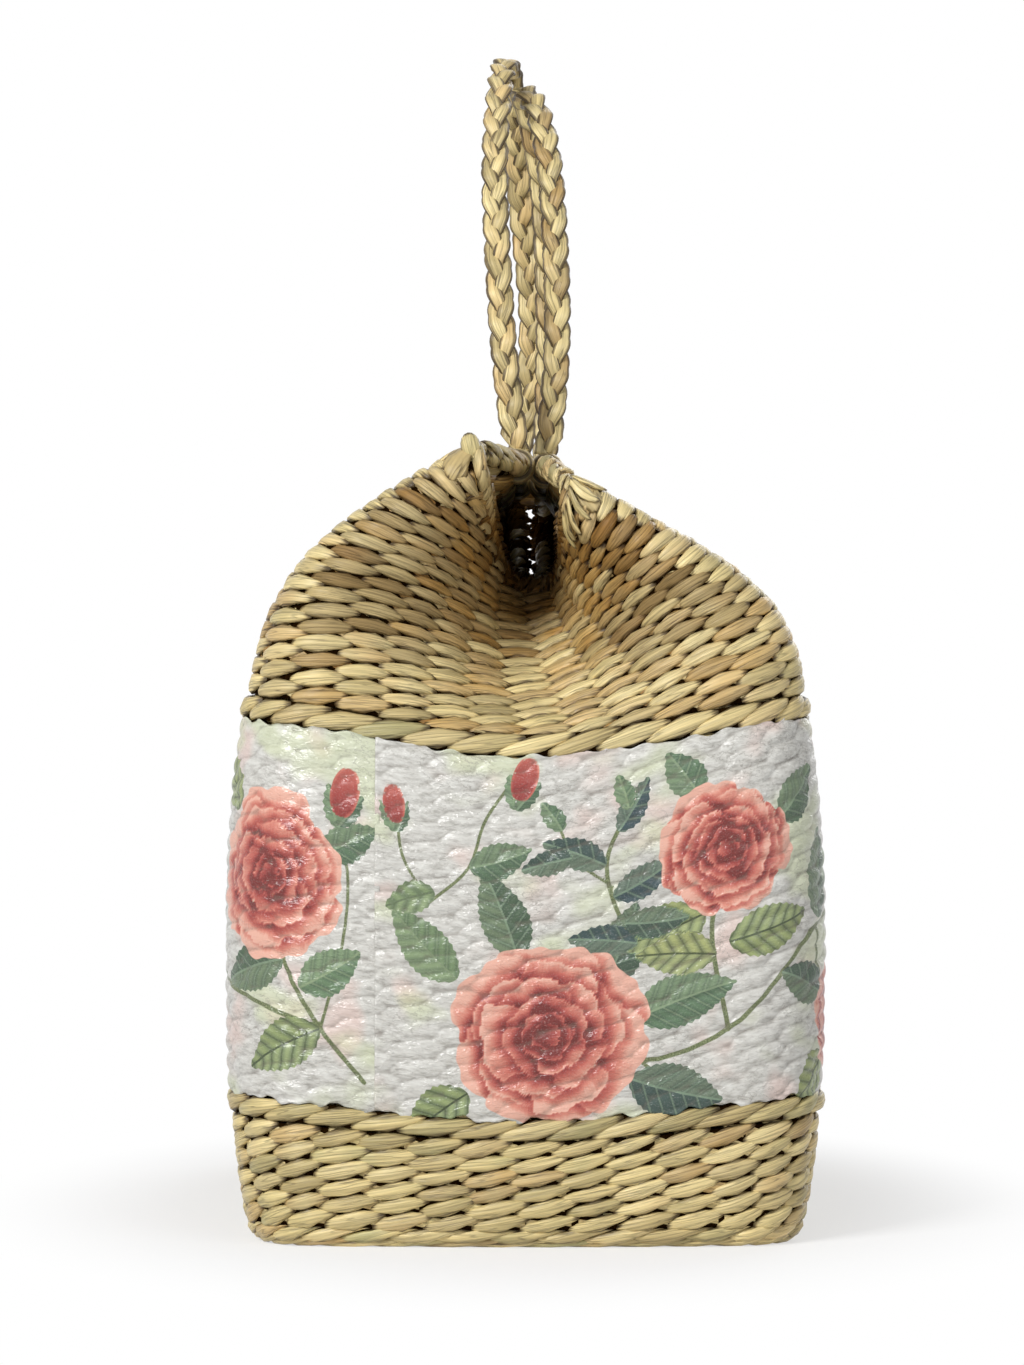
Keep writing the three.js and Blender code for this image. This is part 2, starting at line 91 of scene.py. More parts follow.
# %% Sizes of the hamper
WIDTH, LENGTH = 222, 350
CORNER_RADIUS = 35
END_BULGE = 4
WALL = 6
FOOT_HEIGHT = 8
LOWER_ROWS = 6
LOWER_BORDER_HEIGHT = 52
LOWER_BORDER_DIP = 8.5
BELLY_HEIGHT = 118
SHOULDER_HEIGHT = 197
SHOULDER_DIP = 14
LOWER_BORDER_INSET = 1.5
SHOULDER_INSET = 6.5
MOUTH_X = 2.7
RIM_SPACING = 11.4
RIM_STRAIGHT = 88
FLAP_HALF_LENGTH = 135
FOLD_END = (57, 244)
EAR_Y = 150
EAR_RADIUS = 6.5
SIDES = {
    "front": {
        "rim": 289, "ear": 287.5, "ear_out": {"near": 17, "far": 3.6},
        "middle": [(0.064, 0.24), (0.216, 0.467), (0.44, 0.64), (0.725, 0.79), (0.93, 0.9)],
        "ridge": [(0.063, 0.206), (0.134, 0.376), (0.259, 0.55), (0.486, 0.724), (0.769, 0.887)],
    },
    "back": {
        "rim": 288, "ear": 275, "ear_out": {"near": 15, "far": 9},
        "middle": [(0.06, 0.235), (0.21, 0.45), (0.445, 0.615), (0.73, 0.76), (0.935, 0.89)],
        "ridge": [(0.038, 0.226), (0.138, 0.43), (0.305, 0.6), (0.506, 0.731), (0.715, 0.837)],
    },
}
# How far the slot opens to each side of the fold at an end.
ENDS = {"near": 11, "far": 5.7}
SIGN = {"front": -1, "back": 1, "near": -1, "far": 1}
HANDLES = {
    "front": {"reach": 78, "rise": 163, "sway": [0, -6.4, -8.7, -6.8, -4, -1.5, 1.5, 6, 0]},
    "back": {"reach": 60, "rise": 153, "sway": [0, 4.2, 2.3, -2.6, -9, -5, 0, 1.5, 0]},
}
END_RUN = WIDTH / 2 - CORNER_RADIUS
CORNER_Y = LENGTH / 2 - END_BULGE - CORNER_RADIUS
SHOULDER_OUT = WIDTH / 2 - SHOULDER_INSET - WALL / 2
SHOULDER_END = LENGTH / 2 - END_BULGE - SHOULDER_INSET - WALL / 2
SHOULDER_TURN = CORNER_RADIUS - SHOULDER_INSET - WALL / 2
CORNER_TIP = 1 - math.sqrt(0.5)

# %% Stitches round the wall and up it
COLUMNS = 60
QUARTER = COLUMNS // 4
FAR_MIDDLE = COLUMNS // 2
SAMPLES = 8
LOWER_DIP_RATE = LOWER_BORDER_DIP / LOWER_BORDER_HEIGHT
BAND_DIP_RATE = (SHOULDER_DIP - LOWER_BORDER_DIP) / (SHOULDER_HEIGHT - LOWER_BORDER_HEIGHT)
# How far the rows keep from the middle line of the border rope above or below them.
UNDER_LOWER_BORDER, OVER_LOWER_BORDER, UNDER_SHOULDER = 4.15, 4.3, 4.8
LOWER_ROWS_TOP = LOWER_BORDER_HEIGHT - UNDER_LOWER_BORDER / (1 - LOWER_DIP_RATE)
BAND_BOTTOM = LOWER_BORDER_HEIGHT + OVER_LOWER_BORDER / (1 - BAND_DIP_RATE)
BAND_TOP = SHOULDER_HEIGHT - UNDER_SHOULDER / (1 - BAND_DIP_RATE)
BAND_ROWS = 20
UPPER_ROWS = 18
UPPER_FROM, UPPER_TO, UPPER_STAKES_TO = 0.04, 0.965, 0.993


def mix(a, b, share):
    return a + (b - a) * share


def unit(v):
    return v / np.linalg.norm(v, axis=-1, keepdims=True)


def circle(count):
    """Even angles once round."""
    return 2 * math.pi * np.arange(count) / count


def square_to(axis, v):
    """The direction nearest to v that is square to the axis."""
    return unit(v - (v * axis).sum(-1, keepdims=True) * axis)


def smoothstep(x, low, high):
    s = np.clip((x - low) / (high - low), 0, 1)
    return s * s * (3 - 2 * s)


# %% The box wall below the shoulder
def dip_at(height):
    above = height - LOWER_BORDER_HEIGHT
    return LOWER_BORDER_DIP + above * (LOWER_DIP_RATE if above < 0 else BAND_DIP_RATE)


def inset_at(height):
    if height < BELLY_HEIGHT:
        return LOWER_BORDER_INSET * ((BELLY_HEIGHT - height) / (BELLY_HEIGHT - LOWER_BORDER_HEIGHT)) ** 3
    return SHOULDER_INSET * ((height - BELLY_HEIGHT) / (SHOULDER_HEIGHT - BELLY_HEIGHT)) ** 2


def outline_point(end, turn, side, inset, height):
    radius = CORNER_RADIUS - inset
    angle = turn * math.pi / 2
    x = end * END_RUN + radius * math.sin(angle)
    y = (CORNER_Y + radius * math.cos(angle)) * (1 - side)
    bulge = END_BULGE * math.cos(math.pi * min(x, WIDTH / 2) / WIDTH) ** 2
    share = (end * END_RUN + radius * angle) / (END_RUN + radius * math.pi / 2)
    z = height - dip_at(height) * (0.5 + 0.5 * math.cos(math.pi * share))
    return np.array([x, y + bulge * (1 - side), z])


def station(column):
    lengths = (END_RUN, CORNER_RADIUS * math.pi / 2, CORNER_Y)
    run = column / QUARTER * sum(lengths)
    shares = []
    for length in lengths:
        shares.append(min(max(run / length, 0), 1))
        run -= length
    return shares


def ring_of(quarter_row):
    """A whole ring from one function for a quarter of it, starting at the middle of the near end."""
    points = []
    for k in range(COLUMNS * SAMPLES):
        t = k / SAMPLES
        quarter = int(t // QUARTER)
        column = t - quarter * QUARTER
        if quarter % 2:
            column = QUARTER - column
        sx = 1 if quarter < 2 else -1
        sy = -1 if quarter in (0, 3) else 1
        points.append(quarter_row(column, sx, sy))
    return np.array(points)


def wall_ring(height, depth=WALL / 2):
    inset = inset_at(height) + depth

    def quarter_row(column, sx, sy):
        return outline_point(*station(column), inset, height) * (sx, sy, 1)

    return ring_of(quarter_row)


# %% Curves through points, drawn as the CAD draws them
def catmull(stops, count):
    """Points at even steps along a centripetal curve through the stops."""
    p = [np.array(s, float) for s in stops]
    p = [2 * p[0] - p[1]] + p + [2 * p[-1] - p[-2]]
    fine = []
    for i in range(1, len(p) - 2):
        gaps = [max(np.linalg.norm(p[i + k + 1] - p[i + k]), 1e-9) ** 0.5 for k in (-1, 0, 1)]
        a, b, c = gaps
        start = ((p[i] - p[i - 1]) / a - (p[i + 1] - p[i - 1]) / (a + b) + (p[i + 1] - p[i]) / b) * b
        stop = ((p[i + 1] - p[i]) / b - (p[i + 2] - p[i]) / (b + c) + (p[i + 2] - p[i + 1]) / c) * b
        for s in np.arange(40) / 40:
            fine.append(
                p[i] + start * s + (3 * (p[i + 1] - p[i]) - 2 * start - stop) * s ** 2
                + (2 * (p[i] - p[i + 1]) + start + stop) * s ** 3)
    fine.append(p[-2])
    return resample(np.array(fine), count)


def run_of(path):
    """How far along the path each of its points lies."""
    return np.r_[0, np.cumsum(np.linalg.norm(np.diff(path, axis=0), axis=1))]


def interpolate(at, stops, points):
    return np.stack([np.interp(at, stops, column) for column in points.T], axis=1)


def resample(points, count):
    run = run_of(points)
    return interpolate(np.linspace(0, run[-1], count), run, points)


# %% The upper wall: leaning sides and folded ends
UPS = 41


def rim_out(side):
    return RIM_SPACING / 2 + SIGN[side] * MOUTH_X


def profile(shares, rim_x, rim_z):
    stops = [(0, 0), *shares, (1, 1)]
    return catmull([
        (mix(SHOULDER_OUT, rim_x, inward), 0, mix(SHOULDER_HEIGHT, rim_z, up)) for inward, up in stops], UPS)


PROFILES = {}
for side_name, side_data in SIDES.items():
    PROFILES[side_name, "middle"] = profile(side_data["middle"], rim_out(side_name), side_data["rim"])
    for end_name in ENDS:
        PROFILES[side_name, end_name] = profile(
            side_data["ridge"], side_data["ear_out"][end_name], side_data["ear"])


def free_row(side, end, i):
    """One quarter of a row, from the fold over the ridge to the corner, at level i."""
    up = i / (UPS - 1)
    fold_x = SIGN[side] * MOUTH_X * up
    fold = np.array([
        fold_x, mix(SHOULDER_END + END_BULGE, FOLD_END[0], up),
        mix(SHOULDER_HEIGHT - SHOULDER_DIP, FOLD_END[1], up)])
    radius = mix(EAR_RADIUS, SHOULDER_TURN, (1 - up) ** 1.5)
    ridge = PROFILES[side, end][i]
    tip = np.array([
        ridge[0] - CORNER_TIP * radius * (1 - up),
        mix(SHOULDER_END - CORNER_TIP * SHOULDER_TURN, EAR_Y, up), ridge[2]])
    to_slot = unit(np.array([fold_x + ENDS[end], fold[1], fold[2]]) - tip)
    inward = unit(mix(np.array([-1.0, 0, 0]), to_slot, up ** 0.7))
    along = np.array([0, -1.0, 0])
    bisector = unit(inward + along)
    across = unit(inward - inward.dot(bisector) * bisector)
    centre = tip + radius * bisector
    sweep = (math.pi - math.acos(np.clip(inward.dot(along), -1, 1))) / 2

    def turn_point(share):
        angle = mix(sweep, -sweep, share)
        return centre - radius * math.cos(angle) * bisector + radius * math.sin(angle) * across

    start = turn_point(0)
    reach = np.linalg.norm(fold - start)
    slot = ENDS[end]
    control = [
        fold, fold + (0.4 * reach * (1 - up) + 1.4 * slot * up, 0, 0), start + 0.42 * reach * inward, start]
    middle = PROFILES[side, "middle"][i]
    return {"control": control, "turn": turn_point, "corner": turn_point(1), "middle": middle}


# %% Rings of the upper wall
def bezier(control, s):
    a, b, c, d = control
    r = 1 - s
    return r ** 3 * a + 3 * r * r * s * b + 3 * r * s * s * c + s ** 3 * d


def side_point(row, y):
    share = smoothstep(y, RIM_STRAIGHT, row["corner"][1])
    return np.array([
        mix(row["middle"][0], row["corner"][0], share), y, mix(row["middle"][2], row["corner"][2], share)])


def upper_quarter(side, end, i):
    """Points of a quarter row at even steps, one for each sample of a quarter of the columns."""
    up = i / (UPS - 1)
    row, first = free_row(side, end, i), free_row(side, end, 0)
    depth = SHOULDER_INSET + WALL / 2
    points = []
    for s in np.linspace(0, 1, 25):
        miss = outline_point(s, 0, 0, depth, SHOULDER_HEIGHT) - bezier(first["control"], s)
        points.append(bezier(row["control"], s) + miss * (1 - up) ** 2)
    for s in np.linspace(0, 1, 9)[1:]:
        miss = outline_point(1, s, 0, depth, SHOULDER_HEIGHT) - first["turn"](s)
        points.append(row["turn"](s) + miss * (1 - up) ** 2)
    for s in np.linspace(0, 1, 21)[1:]:
        points.append(side_point(row, row["corner"][1] * (1 - s)))
    return resample(np.array(points), QUARTER * SAMPLES + 1)


def upper_ring(i):
    rows = {(SIGN[s], SIGN[e]): upper_quarter(s, e, i) for s in SIDES for e in ENDS}

    def quarter_row(column, sx, sy):
        return rows[sx, sy][round(column * SAMPLES)] * (sx, sy, 1)

    return ring_of(quarter_row)


# %% Surfaces that answer where a point lies
class Surface:
    """A grid of points: level by level, and once round at each level."""

    def __init__(self, levels, rings, period, closed=True):
        self.levels = np.array(levels, float)
        self.rings = np.array(rings, float)
        self.period = period
        self.closed = closed
        if closed:
            around = np.roll(self.rings, -1, axis=1) - np.roll(self.rings, 1, axis=1)
        else:
            around = np.gradient(self.rings, axis=1)
        self.normals = unit(np.cross(around, np.gradient(self.rings, axis=0)))

    def at(self, t, v, lift=0.0):
        count = self.rings.shape[1]
        steps = count if self.closed else count - 1
        x = np.asarray(t, float) / self.period * steps
        if not self.closed:
            x = np.clip(x, 0, steps - 1e-6)
        x0 = np.floor(x).astype(int)
        fx = (x - x0)[..., None]
        y = np.interp(v, self.levels, np.arange(len(self.levels)))
        y0 = np.minimum(y.astype(int), len(self.levels) - 2)
        fy = (y - y0)[..., None]
        answer = []
        for grid in (self.rings, self.normals):
            low = grid[y0, x0 % count] * (1 - fx) + grid[y0, (x0 + 1) % count] * fx
            high = grid[y0 + 1, x0 % count] * (1 - fx) + grid[y0 + 1, (x0 + 1) % count] * fx
            answer.append(low * (1 - fy) + high * fy)
        return answer[0] + np.asarray(lift)[..., None] * answer[1]


wall_levels = np.linspace(0, SHOULDER_HEIGHT + 8, 62)
wall = Surface(wall_levels, [wall_ring(h) for h in wall_levels], COLUMNS)
upper = Surface(np.linspace(0, 1, UPS), [upper_ring(i) for i in range(UPS)], COLUMNS)
print("wall", wall.rings.shape, "upper wall", upper.rings.shape)

# %% [markdown]
# ## One stitch, modelled
# A stitch is a flat reed folded over its stake: a leaf, blunt on the left where it comes out from
# behind one stake, and drawn to a long point on the right where it dips behind the next. A ball is
# a good start. Its poles become the two tips, and its rings are then pulled in or let out one by
# one.


# %% Helpers for modelling
def select_only(*objects):
    bpy.ops.object.select_all(action="DESELECT")
    for obj in objects:
        obj.select_set(True)
    bpy.context.view_layer.objects.active = objects[0]


def edit_rings(obj, sizes):
    """Scales each ring of vertices across the leaf, for the rings whose place is given."""
    for place, across, thick in sizes:
        for vertex in obj.data.vertices:
            vertex.select = abs(vertex.co.x - place) < 0.04
        bpy.ops.object.mode_set(mode="EDIT")
        bpy.ops.transform.resize(value=(1, across, thick))
        bpy.ops.object.mode_set(mode="OBJECT")


def start_ball(name, segments, rings):
    bpy.ops.mesh.primitive_uv_sphere_add(
        segments=segments, ring_count=rings, radius=1, rotation=(0, math.pi / 2, 0))
    ball = bpy.context.object
    ball.name = name
    bpy.ops.object.transform_apply(location=False, rotation=True, scale=False)
    bpy.ops.object.mode_set(mode="EDIT")
    bpy.ops.mesh.select_mode(type="VERT")
    bpy.ops.mesh.select_all(action="DESELECT")
    bpy.ops.object.mode_set(mode="OBJECT")
    return ball


def take_shape(obj):
    """The points and faces of a modelled shape, and the object itself is put away."""
    mesh = obj.data
    points = np.array([v.co for v in mesh.vertices])
    faces = [list(f.vertices) for f in mesh.polygons]
    bpy.data.objects.remove(obj)
    bpy.data.meshes.remove(mesh)
    a, b, c = points.T
    # Edge: how near a point lies to the rim and tips of the leaf, where the material paints shade.
    tips = np.maximum(smoothstep(a, 0.5, 1.0), smoothstep(-a, 0.75, 1.0))
    edge = np.maximum(np.abs(b) ** 2.2, tips) * (c > -0.5)
    return {"points": points, "faces": faces, "edge": edge}


# %% The stitch, a plainer one for the inside and a knot
ball = start_ball("stitch", 8, 8)
edit_rings(ball, [
    (-0.92, 1.2, 1), (-0.71, 1.09, 1), (-0.38, 1.06, 1), (0.38, 1.04, 1), (0.71, 0.94, 1), (0.92, 0.73, 1)])
STITCH = take_shape(ball)
INNER_STITCH = take_shape(start_ball("inner_stitch", 6, 6))
KNOB = take_shape(start_ball("knob", 10, 8))
print("stitch", len(STITCH["faces"]), "faces; inner stitch", len(INNER_STITCH["faces"]), "faces")


# %% Copies of a shape as one mesh
def send(items, field, values, kind=np.float32):
    """Fills one field of all items of a mesh at once."""
    items.foreach_set(field, values.astype(kind).ravel())


def give_points(mesh, name, kind, values):
    """Tells each point of a mesh some values, which its material reads by their name."""
    attribute = mesh.attributes.new(name, kind, "POINT")
    send(attribute.data, "value" if kind == "FLOAT" else "vector", values)


def copies(name, shape, points, strand, fibre, flip=False):
    """points: copy by copy, each point of the shape. strand: tone, hue and seed of each copy.
    fibre: for each point, how far along and across the reed it is, in millimetres."""
    count, size = points.shape[:2]
    faces = [f[::-1] for f in shape["faces"]] if flip else shape["faces"]
    corners = np.array([v for f in faces for v in f])
    starts = np.r_[0, np.cumsum([len(f) for f in faces])[:-1]]
    offsets = np.arange(count)[:, None]
    corner_index = (corners[None] + size * offsets).ravel()
    mesh = bpy.data.meshes.new(name)
    mesh.vertices.add(count * size)
    send(mesh.vertices, "co", points * MM)
    mesh.loops.add(len(corner_index))
    send(mesh.loops, "vertex_index", corner_index, np.int32)
    mesh.polygons.add(count * len(faces))
    send(mesh.polygons, "loop_start", starts + len(corners) * offsets, np.int32)
    send(mesh.polygons, "use_smooth", np.ones(count * len(faces)), bool)
    mesh.update(calc_edges=True)
    give_points(mesh, "edge", "FLOAT", np.tile(shape.get("edge", np.zeros(size)), count))
    give_points(mesh, "strand", "FLOAT_VECTOR", np.repeat(strand[:, None, :], size, axis=1))
    send(mesh.uv_layers.new(name="fibre").data, "uv", fibre.reshape(-1, 2)[corner_index])
    obj = bpy.data.objects.new(name, mesh)
    bpy.context.collection.objects.link(obj)
    return obj


def fibre_map(shape, along, across):
    return np.stack([np.broadcast_to(along, shape), np.broadcast_to(across, shape)], axis=-1)


def tones(count, low=0.0, high=0.93, dark=0.0):
    """Tone, place in the row of reed colours, and seed of each strand. Dark lowers the tone to paint shade.
    """
    return np.stack([rng.random(count) - dark, rng.uniform(low, high, count), rng.random(count)], axis=1)


def spread(mean, part, count):
    return mean * (1 + part * rng.uniform(-1, 1, count))[:, None]


def waver(count):
    return rng.uniform(-1, 1, count)[:, None]


# %% [markdown]
# ## Twining the wall
# Each stitch is bent on to the wall: its length follows the row, its height crosses the row, and
# its tips sink behind its neighbours as the real reed does when it passes behind the next stake.
# One mesh holds the stitches of a piece, with the stakes behind them as one ribbed sheet, because
# a stake can't be drawn out of real twining either.

# %% Laying stitches on a surface
PITCH_MM = 17.8
LEAN = 0.075
STITCH_HALF_LENGTH = 0.67
STITCH_HALF_HEIGHT = 0.625
STITCH_BASE, STITCH_FAT = 1.2, 2.1
# No stitch stands higher than this off the middle of the wall, so that the handles clear it.
STITCH_TOP, TOP_SOFTNESS = 3.0, 0.3


def lay_stitches(name, surface, t0, v0, row_height, inside=False, slope=0.46, hues=(0.08, 0.6), dark=0.0):
    """Stitches at columns t0 and levels v0, with lengths in columns and thickness in millimetres."""
    shape = INNER_STITCH if inside else STITCH
    a, b, c = shape["points"].T
    count = len(t0)
    t = t0[:, None] + a * spread(STITCH_HALF_LENGTH, 0.07, count) + 0.02 * waver(count)
    v = v0[:, None] + row_height * (
        b * spread(STITCH_HALF_HEIGHT, 0.12, count) + a * spread(slope, 0.2, count) * (-1 if inside else 1)
        + 0.05 * waver(count))
    sunk = 1.3 * np.minimum(a, 0) ** 2 + 0.9 * np.maximum(a, 0) ** 2
    lift = STITCH_BASE + c * spread(STITCH_FAT, 0.15, count) - sunk + 0.25 * waver(count)
    lift = -TOP_SOFTNESS * np.log(np.exp(-lift / TOP_SOFTNESS) + math.exp(-STITCH_TOP / TOP_SOFTNESS))
    points = surface.at(t, v, -lift if inside else lift)
    fibre = fibre_map(t.shape, a * STITCH_HALF_LENGTH * PITCH_MM, b * 3.9)
    return copies(name, shape, points, tones(count, *hues, dark), fibre, flip=inside)


def rows_of(first, levels):
    """Columns and levels of the stitches of some rows. Each row leans a little on the one below."""
    t = np.arange(COLUMNS) + 0.5 - LEAN * (first + np.arange(len(levels)))[:, None]
    return (t % COLUMNS).ravel(), np.repeat(levels, COLUMNS)


# %% Reed core of stakes behind the stitches
def quads(grid):
    """The faces between neighbouring points of a grid, which holds the points' numbers."""
    corners = [grid[:-1, :-1], grid[:-1, 1:], grid[1:, 1:], grid[1:, :-1]]
    return np.stack(corners, axis=-1).reshape(-1, 4).tolist()


def sheet_faces(rows, columns, step=1, closed=False):
    """A closed sheet: a grid of points in front, and every few of them once more behind."""
    front = np.arange(rows * columns).reshape(rows, columns)
    back = front[::step, ::step]
    back = rows * columns + np.arange(back.size).reshape(back.shape)
    if closed:
        front, back = (np.c_[grid, grid[:, :1]] for grid in (front, back))
    faces = quads(front) + [face[::-1] for face in quads(back)]
    edges = [(front[0], back[0], -1), (front[-1], back[-1], 1)]
    if not closed:
        edges += [(front[:, 0], back[:, 0], 1), (front[:, -1], back[:, -1], -1)]
    for fine, coarse, turn in edges:
        for k in range(len(coarse) - 1):
            run = list(fine[k * step:(k + 1) * step + 1]) + [coarse[k + 1], coarse[k]]
            faces.append(run[::turn])
    return faces


def shell(name, surface, t, v, bulge, closed=False):
    """A closed sheet of varying thickness on the middle of a surface."""
    outer, inner = surface.at(t, v, bulge), surface.at(t, v, -bulge)
    rows, columns = outer.shape[:2]
    points = np.concatenate([outer.reshape(-1, 3), inner.reshape(-1, 3)])
    faces = sheet_faces(rows, columns, closed=closed)
    fibre = np.tile(np.stack([v.ravel(), t.ravel() * PITCH_MM], axis=1), (2, 1))
    # Stakes and cores take the near-black reed colour, painted shade seen through the gaps between stitches.
    return copies(name, {"faces": faces}, points[None], np.array([[0.5, 1.0, 0.5]]), fibre[None])


all_round = np.arange(COLUMNS * 4) / 4


def ribs(t, half=0.2, rib=0.5):
    """Half the thickness of the stakes, with a rib for every half column."""
    return half + rib * np.cos(2 * math.pi * t) ** 2


def core(name, surface, levels, *thickness):
    t, v = np.meshgrid(all_round, levels)
    return shell(name, surface, t, v, ribs(t, *thickness), closed=True)


# %% Joining a piece and putting it in place of its solid
BLEND = {
    "front": ((0, 0, 0.2428), (-0.01633, 0, 0.27901)),
    "back": ((0, 0, 0.24528), (0.01656, 0, 0.2801)),
}
dressed = []


def join(name, *objects):
    select_only(*objects)
    bpy.ops.object.join()
    objects[0].name = name
    objects[0].data.name = name
    return objects[0]


def dress(piece, node, slot, body=None, flex=None):
    """Hides the solid the piece replaces, keeps its slot for the finish, and hangs it on its body or bakes it
    in place.
    """
    if flex:
        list(BLEND[flex])
        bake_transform(piece)
    else:
        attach(piece, body)
    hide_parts(node)
    dressed.append((piece, slot))


# %% Lower wall rows
lower_pitch = (LOWER_ROWS_TOP - FOOT_HEIGHT) / LOWER_ROWS
for i in range(LOWER_ROWS):
    centre = FOOT_HEIGHT + (i + 0.5) * lower_pitch
    t0, v0 = rows_of(i, [centre])
    outer = lay_stitches("outer", wall, t0, v0, lower_pitch)
    inner = lay_stitches("inner", wall, t0 + 0.5, v0, lower_pitch, inside=True)
    stakes = core("stakes", wall, np.linspace(centre - lower_pitch / 2, centre + lower_pitch / 2, 3))
    piece = join(f"lower_row_{i + 1}_twining", outer, inner, stakes)
    dress(piece, f"lower_row_{i + 1}", "reed_weave", "basket")
print("lower rows", len(dressed))

# %% Painted wall, twined like the rows below
band_pitch = (BAND_TOP - BAND_BOTTOM) / BAND_ROWS
band_t, band_v = rows_of(LOWER_ROWS + 1, BAND_BOTTOM + (np.arange(BAND_ROWS) + 0.5) * band_pitch)
inner = lay_stitches("inner", wall, band_t + 0.5, band_v, band_pitch, inside=True)
stakes = core("stakes", wall, np.linspace(BAND_BOTTOM, BAND_TOP, 21))
dress(join("painted_wall_twining", inner, stakes), "painted_wall", "painted_reed", "basket")
print("painted wall", len(band_t), "stitches")

# %% [markdown]
# ## The upper wall
# Above the shoulder the same rows run on over the long sides and round the folded ends. Where the
# mouth opens, the real weave bends all over, so these pieces run smoothly from the basket to the
# flap. Reed near the slot is browner, and painted shade darkens the stitches on the inner faces of
# the ends and most deeply in the fold, so they get their colours from where they lie.

# %% Stitches of the upper wall and the piece that each belongs to
upper_levels = mix(UPPER_FROM, UPPER_TO, (np.arange(UPPER_ROWS) + 0.5) / UPPER_ROWS)
upper_t, upper_v = rows_of(LOWER_ROWS + BAND_ROWS + 2, upper_levels)
upper_pitch = (UPPER_TO - UPPER_FROM) / UPPER_ROWS


def edge_column(side, end, up):
    """The column at which a quarter row passes from the folded end, over its ridge, to the long side."""
    columns = np.linspace(0, QUARTER, 200)
    t = {
        ("back", "near"): columns, ("back", "far"): FAR_MIDDLE - columns,
        ("front", "far"): FAR_MIDDLE + columns, ("front", "near"): COLUMNS - columns}[side, end]
    y = np.abs(upper.at(t, up)[:, 1])
    ridge = int(y.argmax())
    return t[ridge + np.argmin(np.abs(y[ridge:] - FLAP_HALF_LENGTH))]


EDGE_LEVELS = np.linspace(0, 1, 21)
EDGES = [[edge_column(s, e, u) for u in EDGE_LEVELS] for s, e in (
    ("back", "near"), ("back", "far"), ("front", "far"), ("front", "near"))]


def zone_of(t, v):
    """Which upper piece a stitch belongs to, going round from the middle of the near end."""
    first, second, third, fourth = (np.interp(v, EDGE_LEVELS, edge) for edge in EDGES)
    return np.select(
        [t < first, t < second, t < FAR_MIDDLE, t < third, t < fourth],
        ["near_back_gusset", "back_upper_wall", "far_back_gusset", "far_front_gusset", "front_upper_wall"],
        "near_front_gusset")


outer_zone = zone_of(upper_t, upper_v)
inner_zone = zone_of((upper_t + 0.5) % COLUMNS, upper_v)
print("upper rows", UPPER_ROWS, "with", len(upper_t), "stitches")

# %% Stakes and colours of a panel
# Each panel lies between two lines of columns: the edge at an end, or the middle of an end.
PANELS = (
    ("front_upper_wall", "front", "far", "near"),
    ("far_front_gusset", "front", FAR_MIDDLE, "far"),
    ("near_front_gusset", "front", "near", COLUMNS),
    ("back_upper_wall", "back", "near", "far"),
    ("near_back_gusset", "back", 0, "near"),
    ("far_back_gusset", "back", "far", FAR_MIDDLE),
)


def line_at(side, line, up):
    return edge_column(side, line, up) if line in ENDS else float(line)


def core_between(side, first, last):
    """Stakes between two lines of columns that change from level to level."""
    ups = np.linspace(UPPER_FROM, UPPER_STAKES_TO, 20)
    starts, stops = (np.array([line_at(side, line, u) for u in ups]) for line in (first, last))
    stops = np.where(stops < starts, stops + COLUMNS, stops)
    share = np.linspace(0, 1, 1 + 4 * int(round((stops - starts).mean())))
    t = starts[:, None] + (stops - starts)[:, None] * share
    v = np.repeat(ups[:, None], len(share), axis=1)
    return shell("stakes", upper, t, v, ribs(t))


def trough_colours(points, normals):
    """Reed is browner towards the slot, and painted shade darkens the inner faces of the ends and the fold.
    The ranges are millimetres across, along and up, and the answer is two hues and a darkness."""
    x, y, z = np.abs(points[:, 0]), np.abs(points[:, 1]), points[:, 2]
    in_trough = smoothstep(y, 40, 60) * (1 - smoothstep(normals[:, 0] * np.sign(points[:, 0]), -0.1, 0.35))
    near_slot = (1 - smoothstep(x, 14, 76)) * smoothstep(z, 196, 246) * in_trough
    folded = (1 - smoothstep(x, 50, 112)) * smoothstep(z, 196, 240) * (0.3 + 0.7 * smoothstep(x, 12, 45))
    deep = (1 - smoothstep(x, 8, 30)) * smoothstep(175 - y, 35, 105)
    return (0.14 + 0.38 * near_slot, 0.66 + 0.24 * near_slot), (0.95 * folded + 0.6 * deep) * in_trough


# %% Upper walls: long sides and folded ends
for node, side, first, last in PANELS:
    mine, inside = outer_zone == node, inner_zone == node
    on_wall = upper.at(upper_t[mine], upper_v[mine])
    # The darkness is painted shade, lowering the tone of each stitch.
    hues, dark = trough_colours(on_wall, upper.at(upper_t[mine], upper_v[mine], 1.0) - on_wall)
    outer = lay_stitches(
        "outer", upper, upper_t[mine], upper_v[mine], upper_pitch, slope=0.37, hues=hues, dark=dark)
    # Inside, painted shade darkens the stitches, most on the far ends that show through the near slot.
    inner = lay_stitches(
        "inner", upper, upper_t[inside] + 0.5, upper_v[inside], upper_pitch, inside=True, hues=(0.3, 0.93),
        dark=1.9 if node.startswith("far") else 0.4)
    piece = join(f"{node}_twining", outer, inner, core_between(side, first, last))
    dress(piece, node, "reed_weave", flex=side)
    print(piece.name, len(piece.data.polygons), "faces")

# %% [markdown]
# ## Borders, foot and base
# A border is a row of long leaves, each laid slanting over the next, so it reads as a twisted rope.
# The bottom edge is made of the same leaves turned from the wall to the floor, and the base is
# twined flat. All are laid as the wall is, on surfaces of their own.

